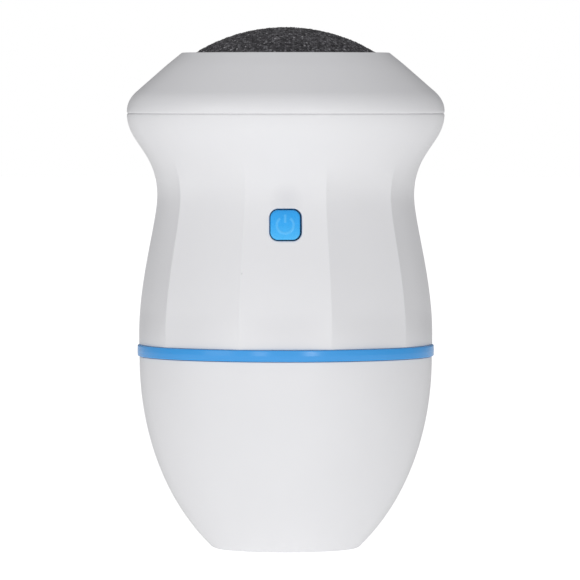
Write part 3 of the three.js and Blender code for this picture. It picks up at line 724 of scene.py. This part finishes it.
def grow_rim(opening, border, radius_at, side, verts, faces, n):
    """Rings of quads from a window's border in to the opening's edge. Returns the last ring."""
    ring = [row * n + c for row, c in border]
    flat = [(verts[v][0], verts[v][2]) for v in ring]
    front = opening["middle"] == 0
    x_middle = 0.0 if front else 3.0 * round((180 - opening["middle"]) / VENT_STEP)
    half_x, half_z = opening["half"]
    corner = opening["corner"]

    def outline(point, grow):
        """The opening's edge nearest to a point, grown outwards by a distance."""
        x, z = point[0] - x_middle, point[1] - opening["z"]
        sx = min(max(x, corner - half_x), half_x - corner)
        sz = min(max(z, corner - half_z), half_z - corner)
        out = (corner + grow) / (hypot(x - sx, z - sz) or 1.0)
        return x_middle + sx + out * (x - sx), opening["z"] + sz + out * (z - sz)

    lip = 0.35 if front else 0.25
    stages = []
    goal = [outline(p, lip) for p in flat]
    for t in (0.2, 0.4, 0.6, 0.8, 0.92, 1.0):
        between = [((1 - t) * x + t * u, (1 - t) * z + t * w, 0.0) for (x, z), (u, w) in zip(flat, goal)]
        stages.append(between)
    if side > 0:
        for a in np.radians((18, 36, 54, 72, 90)):
            stages.append([(*outline(p, lip * (1 - sin(a))), lip * (1 - cos(a))) for p in flat])
    else:
        stages.append([(*outline(p, 0.0), 0.0) for p in flat])
    for stage in stages:
        start = len(verts)
        verts.extend(on_wall(radius_at, x, z, front, depth) for x, z, depth in stage)
        now = list(range(start, start + len(ring)))
        for k in range(len(ring)):
            m = (k + 1) % len(ring)
            quad = (ring[k], ring[m], now[m], now[k])
            faces.append(quad if side > 0 else quad[::-1])
        ring = now
    return ring


def post(r, bore, z0, z1, x=0.0, y=0.0):
    return placed(tube(bore, r, z0, z1, 0.2, 40), (x, y, 0))


shell_posts = [post(2.9, 1.1, 80, DECK_Z - 0.1, x, y) for x, y in DECK_SCREWS]
shell_posts += [post(3, 1.1, 61.8, 72, s * HOLDER_SCREW_X) for s in (-1, 1)]
for z, wall_y in BOARD_PILLARS:
    pillar = tube(0.95, 2.2, 0.1 - BOARD_FRONT, -wall_y - 1.0, 0.2, 40)
    shell_posts.append(placed(along_y(pillar), (0, 0, z)))
remade("upper_shell", joined(shell_skin(), *shell_posts), WHITE, smooth_angle=42)

# ---- bowl, ring and head cover
FLAT_R, FOOT_R = 16.72, 1.75  # the flat it stands on, and the round edge about it
BOWL_R, BOWL_HIGH = RIM_R - 0.1, RING_LOW - 0.1
bowl_curve = bezier((17.9, 0.5), (30.11, 12.39), (BOWL_R, 29.65), (BOWL_R, BOWL_HIGH - 0.25), 60)
foot_turns = np.radians((0, 11, 22, 33))
bowl_outline = [
    (0, 0),
    *((FLAT_R + FOOT_R * sin(a), FOOT_R * (1 - cos(a))) for a in foot_turns),
    *bowl_curve,
    (BOWL_R, BOWL_HIGH, 0.25), (32.9, BOWL_HIGH, 0.2), (32.9, 50.5, 0.4), (31.4, 50.5, 0.3),
    (31.4, 43.5, 0.5),
    *(p for p in offset(bowl_curve, 2.0)[::-1] if 3.6 < p[1] < 42.0),
    (15.8, 2.2, 1.5), (0, 2.2),
]
remade("lower_shell", lathe(bowl_outline, 224), WHITE, "base")

ring_middle = (RING_LOW + RING_HIGH) / 2
ring_outline = [
    (34.3, RING_LOW), (RING_R - 0.05, RING_LOW, 0.3), (RING_R, ring_middle, 1.5),
    (RING_R - 0.05, RING_HIGH, 0.3), (34.3, RING_HIGH),
]
remade("trim_ring", lathe(ring_outline, 224), RING_BLUE)

cover_low = SEAM_Z + 0.015
cover_outline = [
    (34.3, 100.5, 0.2), (35.8, 100.5, 0.4), (35.8, cover_low),
    *((SHOULDER_R - depth, cover_low + back) for back, depth in SEAM_GROOVE),
    *bezier((SHOULDER_R, cover_low + 0.6), (SHOULDER_R, 106.6), (37.3, 108.3), (35.6, 109.73), 20),
    (28.45, 116, 20), (COVER_EDGE_R, COVER_TOP, 0.7), (OPENING_R, COVER_TOP, 0.35),
    (OPENING_R, COVER_TOP - 2.1, 0.3), (24.2, COVER_TOP - 2.1, 0.3), (33.8, 108.6, 1.0),
    (34.3, 107.6, 0.8),
]
remade("head_cover", lathe(cover_outline, 224), WHITE, "head_cover")
remade("head_seal", tube(34.1, 35.8, 99.7, 100.3, 0.28, 160), SEAL)


# ---- abrasive disc, pad and carrier
def grit_dome():
    """A domed sheet of grains of their own heights, with a rim and an underside."""
    across = 280
    grain_size, relief = 0.5, 0.2
    edge_tilt = asin(DISC_R / DOME_R)
    verts = []
    for b in np.linspace(-1, 1, across + 1):
        for a in np.linspace(-1, 1, across + 1):
            if abs(a) > abs(b):
                radius, angle = a, pi / 4 * b / a
            else:
                radius, angle = b, pi / 2 - (pi / 4 * a / b if b else 0)
            out, up = sin(radius * edge_tilt), cos(radius * edge_tilt)
            unit = Vector((out * cos(angle), out * sin(angle), up))
            near, seeds = noise.voronoi(unit * DOME_R / grain_size)
            crevice = min(max((near[1] - near[0]) / 0.4, 0), 1)
            grain = 0.5 + 0.5 * noise.cell(seeds[0] * 7.3)
            height = crevice * grain * relief if abs(radius) < 0.995 else 0
            verts.append(tuple(unit * (DOME_R - relief + height) + Vector((0, 0, DOME_Z))))
    n = across + 1
    corners = [i * n + j for i in range(across) for j in range(across)]
    faces = [(v, v + 1, v + n + 1, v + n) for v in corners]
    loop = [i for i in range(across)] + [across + n * i for i in range(across)]
    loop += [n * n - 1 - i for i in range(across)] + [n * (across - i) for i in range(across)]
    loop_on = [*range(1, len(loop)), 0]
    under = [(DISC_R, 117.1), (DISC_R - 0.5, 117.1)] + dome_arc(DOME_R - 0.9, DISC_R - 0.5, 1.0, 12)
    for r, z in under:
        start = len(verts)
        for v in loop:
            out = Vector((verts[v][0], verts[v][1], 0)).normalized() * r
            verts.append((out.x, out.y, z))
        now = list(range(start, start + len(loop)))
        faces += [(now[k], now[m], loop[m], loop[k]) for k, m in enumerate(loop_on)]
        loop = now
    faces += [(len(verts), loop[m], loop[k]) for k, m in enumerate(loop_on)]
    verts.append((0, 0, DOME_Z + DOME_R - 0.9))
    return verts, faces


remade("abrasive_disc", grit_dome(), GRIT, HEAD, smooth_angle=70)

pad_outline = dome_arc(37.75, 0, 21.2, 24) + [(21.75, 115.4), (21.75, 116.6)] + dome_arc(40.25, 21.3, 0, 24)
pad = remade("foam_pad", lathe(pad_outline, 128), PAD_FOAM, HEAD)

CARRIER_IN, CARRIER_OUT = 35.5, 37.5  # radii of the spheres under and over the carrier's dome
carrier_outline = [
    (1.1, 102.7, 0.2), (3.8, 102.7, 0.3), (*on_dome(CARRIER_IN, 3.8), 0.6),
    *dome_arc(CARRIER_IN, 4.5, 18.6, 16), (*on_dome(CARRIER_IN, 19.2), 0.5),
    (19.2, 112.5, 0.4), (21.2, 112.5, 0.5), (*on_dome(CARRIER_OUT, 21.2), 0.5),
    *dome_arc(CARRIER_OUT, 20.5, 3.2, 20), (*on_dome(CARRIER_OUT, 2.6), 0.2),
    (2.6, 119.4), (1.1, 119.4),
]
rib_outline = [(3.4, 112.6), (19.6, 112.6)] + dome_arc(36.4, 19.6, 3.4, 12)
carrier_rib = along_y(prism(rib_outline, -0.6, 0.6, edge=0.15))
carrier = joined(lathe(carrier_outline, 128), *(placed(carrier_rib, turn=60 * k) for k in range(6)))
remade("disc_carrier", carrier, GREY_PLASTIC, HEAD)


def screw(head_r, head_h, shank_r, length):
    """A pan-head screw standing on z = 0, with a cross recess in its head and a thread on its shank."""
    sides = 64
    angles = np.arange(sides) * tau / sides
    arm_width, arm_length, recess_depth = 0.17 * head_r, 0.62 * head_r, 0.62 * head_h

    def recess(x, y):
        """How deep the cross is at a place on the head."""
        x, y = abs(x), abs(y)
        inside = max(min(arm_width - x, arm_length - y), min(arm_width - y, arm_length - x))
        return recess_depth * ease(inside, -0.05, 0.06)

    thread, pitch = 0.14, 0.8
    tip = -length
    loops = []
    for i in range(int((length - 0.3) / 0.1) + 1):
        z = tip + 0.05 + 0.1 * i
        taper = min(1.0, 0.25 + (z - tip) / 1.4)
        crests = [abs(((z / pitch - a / tau) % 1) * 2 - 1) ** 2 for a in angles]
        radii = [(shank_r - thread + thread * c) * taper for c in crests]
        loops.append([(r * cos(a), r * sin(a), z) for r, a in zip(radii, angles)])
    profile = [(shank_r, -0.05), (shank_r, 0), (head_r - 0.12, 0), (head_r, 0.12), (head_r, head_h * 0.4)]
    crown = np.radians((15, 30, 45, 58))
    profile += [(head_r * cos(t), head_h * (0.4 + 0.6 * sin(t))) for t in crown]
    loops += [[(r * cos(a), r * sin(a), z) for a in angles] for r, z in profile]
    rim_r, rim_z = profile[-1]
    for ring_r in np.linspace(rim_r, 0.04, 22)[1:]:
        z = head_h - (head_h - rim_z) * (ring_r / rim_r) ** 2
        flat = [(ring_r * cos(a), ring_r * sin(a)) for a in angles]
        loops.append([(x, y, z - recess(x, y)) for x, y in flat])
    return skin(loops, (0, 0, tip), (0, 0, head_h - recess(0, 0)))


deck_screw = screw(2.3, 1.4, 0.95, 8)
carrier_screw = placed(screw(2.3, 1.3, 0.95, 8), (0, 0, 119.45))
remade("carrier_screw", carrier_screw, STEEL, HEAD)

# ---- fan, filter and deck
blade_line = [(6 + 1.125 * i, -4.5 * i) for i in range(9)]
blade_sides = [[polar(r, angle + side * 26 / r) for r, angle in blade_line] for side in (-1, 1)]
fan_blade = prism(blade_sides[0] + blade_sides[1][::-1], 95.2, 101, edge=0.18)
hub_outline = [
    (1.1, 94.4, 0.1), (15.5, 94.4, 0.3), (15.5, 95.4, 0.3), (4, 95.6, 0.8), (4, 101.5, 0.5),
    (1.1, 101.5, 0.2),
]
fan = joined(lathe(hub_outline), *(placed(fan_blade, turn=45 * k) for k in range(8)))
remade("impeller", fan, BLUE, HEAD)

shroud_outline = [
    (18.1, 92.7, 0.15), (19, 92.7, 0.2), (19, 103.1, 0.5), (9, 103.1, 0.3), (9, 102.2, 0.3),
    (18.1, 102.2, 0.4),
]
remade("fan_shroud", lathe(shroud_outline, 128), GREY_PLASTIC)
remade("filter_foam", tube(5.1, 17.3, 103.2, 105.2, 0.35, 128), FILTER_FOAM)
spoke = prism(rounded(12, 1.2, 0.2, 12.0), 105.4, 106.6, edge=0.2)
filter_frame = joined(
    tube(17.7, 18.6, 103.2, 106.6, 0.25, 128),
    tube(5.1, 6.4, 105.4, 106.6, 0.25),
    *(placed(spoke, turn=90 * k) for k in range(4)),
)
remade("filter_frame", filter_frame, DARK_PLASTIC)

deck_holes = [
    circle(3.5), circle(1.25, MOTOR_SCREW_X), circle(1.25, -MOTOR_SCREW_X),
    *(circle(1.35, x, y) for x, y in DECK_SCREWS),
    *(sector(13.2, 16.6, 30 + 60 * k, 34) for k in range(6)),
]
deck = prism(circle(28.4, sides=160), DECK_Z, DECK_TOP, *deck_holes, edge=0.2)
remade("motor_deck", deck, GREY_PLASTIC)
for k, (x, y) in enumerate(DECK_SCREWS, 1):
    remade(f"deck_screw_{k}", placed(deck_screw, (x, y, DECK_TOP + 0.05), 25 * k), STEEL)
for k, x in enumerate((MOTOR_SCREW_X, -MOTOR_SCREW_X), 1):
    remade(f"motor_screw_{k}", placed(screw(2, 1.2, 0.9, 4.2), (x, 0, DECK_TOP + 0.05), 40 * k), STEEL)

# ---- motor
can_outline = [
    (11.2, 65.6, 0.1), (12, 65.6, 0.25), (12, 90.7, 1.2), (3.1, 90.7, 0.4), (3.1, 92.3, 0.2),
    (2.4, 92.3, 0.1), (2.4, 89.9, 0.2), (11.2, 89.9, 0.8),
]
remade("motor_can", lathe(can_outline, 128), CAN_STEEL)
cap_outline = [
    (2.4, 63.4, 0.1), (3.5, 63.4, 0.3), (3.5, 65.7, 0.3), (10.9, 65.7, 0.3), (10.9, 67.8, 0.2),
    (2.4, 67.8, 0.1),
]
remade("motor_end_cap", lathe(cap_outline), DARK_PLASTIC)
for k, x in enumerate((7, -7), 1):
    eye = circle(0.5, x, 63.3, 20)
    tab = fillet([(x - 1.2, 62.2, 0.5), (x + 1.2, 62.2, 0.5), (x + 1.2, 69), (x - 1.2, 69)], True)
    remade(f"motor_terminal_{k}", along_y(prism(tab, -0.3, 0.3, eye, edge=0.08)), BRASS)
remade("motor_shaft", rod(1, 62.6, 108.2, 0.3), STEEL, HEAD)
for end, low, high in (("rear", 63.6, 67.4), ("front", 89.4, 92.1)):
    remade(f"motor_bush_{end}", tube(1.1, 2.25, low, high, 0.2, 48), BRASS)
for k, middle in enumerate((90, 270), 1):
    remade(f"motor_magnet_{k}", prism(sector(8.9, 10.9, middle, 130, 40), 70, 86, edge=0.25), MAGNET)


def arc(r, start, end, steps=8):
    return [polar(r, start + (end - start) * i / steps) for i in range(steps + 1)]


POLES = (0, 120, 240)
core_outline = []
for pole in POLES:
    arm_at_hub, arm_at_shoe = (degrees(asin(1.2 / r)) for r in (2.8, 6.9))
    core_outline += arc(2.8, pole - 120 + arm_at_hub, pole - arm_at_hub)
    core_outline += arc(6.9, pole - arm_at_shoe, pole - 48) + arc(8.2, pole - 48, pole + 48, 24)
    core_outline += arc(6.9, pole + 48, pole + arm_at_shoe)
laminations = [prism(core_outline, 72 + k, 72.97 + k, circle(1.1), edge=0.07) for k in range(12)]
remade("armature_core", joined(*laminations), STEEL, HEAD)
turn_out, turn_in = rounded(5.4, 14.8, 1.7), rounded(2.7, 12.4, 0.6)
turns = [prism(turn_out, r, r + 0.4, turn_in, edge=0.18) for r in np.arange(3.4, 5.8, 0.42)]
winding_verts, winding_faces = joined(*turns)
winding = [(z, x, 78 + y) for x, y, z in winding_verts], winding_faces
for k, pole in enumerate(POLES, 1):
    remade(f"armature_coil_{k}", placed(winding, turn=pole), COPPER, HEAD)
segments = [prism(sector(1.7, 2.7, 60 + pole, 112), 68.1, 70.3, edge=0.08) for pole in POLES]
commutator = joined(tube(1.1, 1.75, 68.1, 70.3, 0.1, 48), *segments)
remade("commutator", commutator, COPPER, HEAD)


# ---- power button, switch and board
def square_reach(half, corner, angle):
    """Distance from the centre of a rounded square to its edge, at an angle."""
    c, s = abs(cos(angle)), abs(sin(angle))
    straight = half / max(c, s)
    flat = half - corner
    if min(c, s) * straight <= flat:
        return straight
    b = flat * (c + s)
    return b + sqrt(max(b * b - 2 * flat * flat + corner * corner, 0))


def power_mark(x, z):
    """How much of the power mark is at a place: a ring open at the top, with a bar in the opening."""
    from_top = degrees(abs(atan2(x, z)))
    in_ring = ease(0.42 - abs(hypot(x, z) - 1.97), 0.0, 0.3) * ease(from_top, 32, 44)
    in_bar = ease(0.42 - abs(x), 0.0, 0.3) * ease(1.1 - abs(z - 1.5), 0.0, 0.3)
    return max(in_ring, in_bar)


def button_cap():
    """The cap: a crowned face with a raised mark, a rolled edge, a flange behind it and a stem."""
    half, corner, edge, crown = 3.5, 1.8, 0.45, 0.2
    back_y = -26.9
    angles = np.arange(240) * tau / 240
    reach = [square_reach(half - edge, corner - edge * 0.6, a) for a in angles]
    loops = []
    for a0 in np.radians((90, 75, 60, 45, 30, 15)):
        back = edge * (1 - sin(a0))
        out = [square_reach(half - back, corner - back * 0.6, a) for a in angles]
        depth = crown + edge * (1 - cos(a0))
        loops.append([(r * cos(a), r * sin(a), depth) for r, a in zip(out, angles)])
    for t in np.linspace(1, 1 / 84, 84):
        flat = [(t * r * cos(a), t * r * sin(a)) for r, a in zip(reach, angles)]
        loops.append([(x, z, crown * t * t - 0.05 * power_mark(x, z)) for x, z in flat])
    rings = [[(x, back_y, BUTTON_Z + z) for x, z, _ in loops[0]]]
    for loop in loops:
        rings.append([(x, BUTTON_FACE_Y + depth + BUTTON_LEAN * z, BUTTON_Z + z) for x, z, depth in loop])
    cap = skin(rings, (0, back_y, BUTTON_Z), (0, BUTTON_FACE_Y, BUTTON_Z))
    flange = placed(along_y(prism(rounded(9.4, 9.4, 2.6), 26.1, 27.0, edge=0.15)), (0, 0, BUTTON_Z))
    stem = placed(along_y(rod(1.5, 25.2, 26.3)), (0, 0, BUTTON_Z))
    return joined(cap, flange, stem)


CAP_X = -0.1  # the cap sits a little to the left in its opening
cap = placed(button_cap(), (CAP_X, 0, 0))
cap_piece = remade("power_button", cap, CAP_BLUE, "button", smooth_angle=50)
marks = cap_piece.data.attributes.new("mark", "FLOAT", "POINT")
for mark, (x, y, z) in zip(marks.data, cap[0]):
    on_face = y < BUTTON_FACE_Y + 1.4
    mark.value = power_mark(x - CAP_X, z - BUTTON_Z) if on_face else 0.0

plunger = placed(along_y(prism(rounded(3, 3, 0.4), 23.5, 25, edge=0.15)), (0, 0, BUTTON_Z))
remade("switch_plunger", plunger, DARK_PLASTIC, "button")
pocket = rounded(3.6, 3.6, 0.3)
switch_front = along_y(prism(rounded(8, 8, 0.6), 21.9, 23.8, pocket, edge=0.15))
switch_back = along_y(prism(rounded(8, 8, 0.6), 19.7, 21.9, edge=0.1))
switch = placed(joined(switch_front, switch_back), (0, 0, BUTTON_Z))
remade("switch_body", switch, DARK_PLASTIC)
board_holes = [circle(1.1, 0, z, 32) for z, _ in BOARD_PILLARS]
board = along_y(prism(rounded(16, 26.4, 1.0, 0, 76.7), -BOARD_BACK, -BOARD_FRONT, *board_holes, edge=0.08))
remade("circuit_board", board, BOARD)
for k, (z, _) in enumerate(BOARD_PILLARS, 1):
    remade(f"board_screw_{k}", placed(screw(1.9, 1.1, 0.8, 6), (0, BOARD_BACK + 0.05, z), -90, "X"), STEEL)

# ---- battery pack
wire_holes = [circle(1, 9, 9, 24), circle(1, 9, -9, 24)]
screw_holes = [circle(1.35, s * HOLDER_SCREW_X, 0, 32) for s in (-1, 1)]
PLATE_R, EAR_X, EAR_Y, EAR_CORNER = 17.8, 30.8, 2.8, 2.6
ear_angle = degrees(asin(EAR_Y / PLATE_R))
top_outline = []
for s, start in ((-1, 0), (1, 180)):
    top_outline += [polar(PLATE_R, a) for a in np.linspace(start + ear_angle, start + 180 - ear_angle, 60)]
    ear = [top_outline[-1], (s * EAR_X, -s * EAR_Y, EAR_CORNER), (s * EAR_X, s * EAR_Y, EAR_CORNER)]
    top_outline += fillet([*ear, polar(PLATE_R, start + 180 + ear_angle)], steps=10)[1:-1]
holder = joined(
    prism(circle(17.6, sides=160), 4, 5.4, edge=0.25),
    prism(top_outline, 60, 61.6, *wire_holes, *screw_holes, edge=0.25),
    *(placed(rod(2.2, 4.5, 60.5), (*polar(14.6, 90 * k), 0)) for k in range(4)),
    prism(rounded(29.2, 0.8, 0.1), 6.4, 59, edge=0.1),
    prism(rounded(0.8, 29.2, 0.1), 6.4, 59, edge=0.1),
)
remade("battery_holder", holder, DARK_PLASTIC)
for k, s in enumerate((-1, 1), 1):
    remade(f"holder_screw_{k}", placed(deck_screw, (s * HOLDER_SCREW_X, 0, 59.95), 180, "X"), STEEL)

can_line = [
    (0, 0.25), (4.6, 0.25, 0.2), (5.0, 0.0, 0.2), (6.2, 0.0, 0.3), (6.95, 0.6, 0.3),
    (6.95, 48.9, 0.4), (6.5, CELL_BODY, 0.3), (5.6, CELL_BODY, 0.2), (5.2, CELL_BODY - 0.5, 0.2),
    (3.4, CELL_BODY - 0.5, 0.2), (2.75, CELL_BODY + 0.1, 0.3), (2.75, CELL_BODY + 1, 0.4),
    (0, CELL_BODY + 1),
]
cell_can = lathe(can_line, 96)
jacket_line = [
    (6.98, 0.35), (6.55, 0.12), (6.6, 0.02), (6.9, 0.15, 0.2), (CELL_R, 0.55, 0.3),
    (CELL_R, CELL_BODY - 0.5, 0.3), (6.7, CELL_BODY + 0.02, 0.2), (6.2, CELL_BODY + 0.06),
    (6.15, CELL_BODY + 0.01), (6.55, CELL_BODY - 0.1), (6.98, CELL_BODY - 0.45),
]
cell_jacket = lathe(jacket_line, 96)
spring_line = []
for i in range(121):
    t = i / 120
    spring_line.append((*polar(3.7 - 1.6 * t, 900 * t), 0.3 + 2.1 * t))
contact_spring = sweep(spring_line, 0.3, 12)
CELLS = [(1, 1, True), (-1, 1, False), (-1, -1, True), (1, -1, False)]
for k, (sx, sy, nub_up) in enumerate(CELLS, 1):
    x, y = sx * CELL_OFFSET, sy * CELL_OFFSET
    turn = 0 if nub_up else 180
    cell_z, spring_z = (8.8, 6.0) if nub_up else (56.6, 59.4)
    can = placed(cell_can, (x, y, cell_z), turn, "X")
    piece(f"battery_{k}_can", can, CELL_NICKEL, "housing", f"battery_{k}")
    piece(f"battery_{k}_jacket", placed(cell_jacket, (x, y, cell_z), turn, "X"), JACKET, "housing")
    remade(f"contact_spring_{k}", placed(contact_spring, (x, y, spring_z), turn, "X"), NICKEL)

CONTACTS = {
    "contact_plus": (8, 8, CELL_OFFSET, CELL_OFFSET, 59.5),
    "contact_minus": (8, 8, CELL_OFFSET, -CELL_OFFSET, 59.5),
    "contact_bridge_top": (8, 23.2, -CELL_OFFSET, 0, 59.5),
    "contact_bridge_rear": (23.2, 8, 0, CELL_OFFSET, 5.5),
    "contact_bridge_front": (23.2, 8, 0, -CELL_OFFSET, 5.5),
}
for name, (width, depth, x, y, z) in CONTACTS.items():
    remade(name, prism(rounded(width, depth, 2.5, x, y), z, z + 0.4, edge=0.1), NICKEL)

# ---- wires
WIRE_BOARD_Y = BOARD_BACK + 0.4
battery_to_board = [
    (9, 9, 60.1), (9.3, 8.8, 62.6), (13.6, 4, 63.8), (13.8, -8, 64.6), (7, -16, 66.2),
    (6, WIRE_BOARD_Y, 66.5),
]
board_to_motor = [(-6, WIRE_BOARD_Y, 66.5), (-6.4, -14, 65.2), (-7.4, -8, 63.9), (-7, -0.5, 63.5)]
battery_to_motor = [(9, -9, 60.1), (9, -8.6, 62.4), (8.2, -5, 63.6), (7, -0.5, 63.6)]
WIRES = {
    "wire_battery_red": (battery_to_board, RED),
    "wire_motor_red": (board_to_motor, RED),
    "wire_battery_black": (battery_to_motor, BLACK),
}
for name, (route, finish) in WIRES.items():
    remade(name, sweep(smooth_path(route), 0.6), finish)

# ---- studio
OBJECT_MIDDLE = (0, 0, 0.06)


def aim(made, where, target):
    made.location = where
    made.rotation_euler = (Vector(target) - Vector(where)).to_track_quat("-Z", "Y").to_euler()


def area_light(name, where, size, power):
    data = bpy.data.lights.new(name, "AREA")
    data.shape = "RECTANGLE"
    data.size, data.size_y = size
    data.energy = power
    made = new_object(name, data)
    aim(made, where, OBJECT_MIDDLE)
    made.visible_camera = False


def looking(beside):
    """1 where the camera looks, and 0 where light only bounces."""
    return add_node(beside, "LightPath", {}).outputs["Is Camera Ray"]


def floor(front, back, seen):
    """A pale light table: white to look at, and lighting the object more from in front."""
    material, shader = new_material("pale_floor")
    at = place(shader)
    paper = noise_value(at, 0.4, 4.0)
    greys = ramp(paper, (0.3, (0.49, 0.49, 0.49)), (0.7, (0.51, 0.51, 0.51)))
    link(greys, shader.inputs["Base Color"])
    link(spread(paper, 0.75, 0.85), shader.inputs["Roughness"])
    shader.inputs["Specular IOR Level"].default_value = 0.0
    shader.inputs["Emission Color"].default_value = (1, 1, 1, 1)
    glow = spread(split(at)["Y"], front, back, -150, 150)
    chosen = add_node(shader, "Mix", {"Factor": looking(shader), "A": glow, "B": seen}).outputs["Result"]
    link(chosen, shader.inputs["Emission Strength"])
    size = 6000
    corners = [(-size, -size, -0.02), (size, -size, -0.02), (size, size, -0.02), (-size, size, -0.02)]
    piece("floor", (corners, [(0, 1, 2, 3)]), (material, None), None)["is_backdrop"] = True


def world(room, front, top):
    """White where the camera looks, and a dimmer room for light, brighter in front and overhead."""
    made = bpy.data.worlds.new("studio")
    bpy.context.scene.world = made
    made.use_nodes = True
    output = made.node_tree.nodes["World Output"]
    direction = split(add_node(output, "TexCoord", {}).outputs["Generated"])
    from_front = spread(direction["Y"], room + front, room, -1.0, 0.0)
    from_top = spread(direction["Z"], 0.0, top, 0.0, 1.0)
    strength = add_node(output, "Math", {0: from_front, 1: from_top}, operation="ADD").outputs["Value"]
    light = {"Color": (0.985, 0.984, 0.998, 1), "Strength": strength}
    lit = add_node(output, "Background", light).outputs["Background"]
    seen = add_node(output, "Background", {"Color": (1, 1, 1, 1)}).outputs["Background"]
    both = add_node(output, "MixShader", {0: looking(output), 1: lit, 2: seen}).outputs["Shader"]
    link(both, output.inputs["Surface"])


floor(front=0.83, back=0.41, seen=0.86)
world(room=0.21, front=0.54, top=0.225)
SOFTBOX, WINDOW = (0.8, 1.3), (0.22, 0.24)
area_light("softbox_left", (-1.45, -1.1, 0.45), SOFTBOX, 3.4)
area_light("softbox_right", (1.15, -1.5, 0.45), SOFTBOX, 0.4)
area_light("window_left", (-0.5, -1.4, 0.16), WINDOW, 0.6)
area_light("window_right", (0.5, -1.4, 0.16), WINDOW, 0.9)

camera_data = bpy.data.cameras.new("camera")
camera_data.lens = 380.4
camera_data.sensor_width = 36
camera_data.clip_end = 20
camera = new_object("camera", camera_data)
view_x, view_z = 0.00103, 0.06194  # what the camera looks at
aim(camera, (view_x, -1.471, 0.11064), (view_x, 0, view_z))
bpy.context.scene.camera = camera
bpy.context.scene.view_settings.view_transform = "Standard"

low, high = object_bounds()
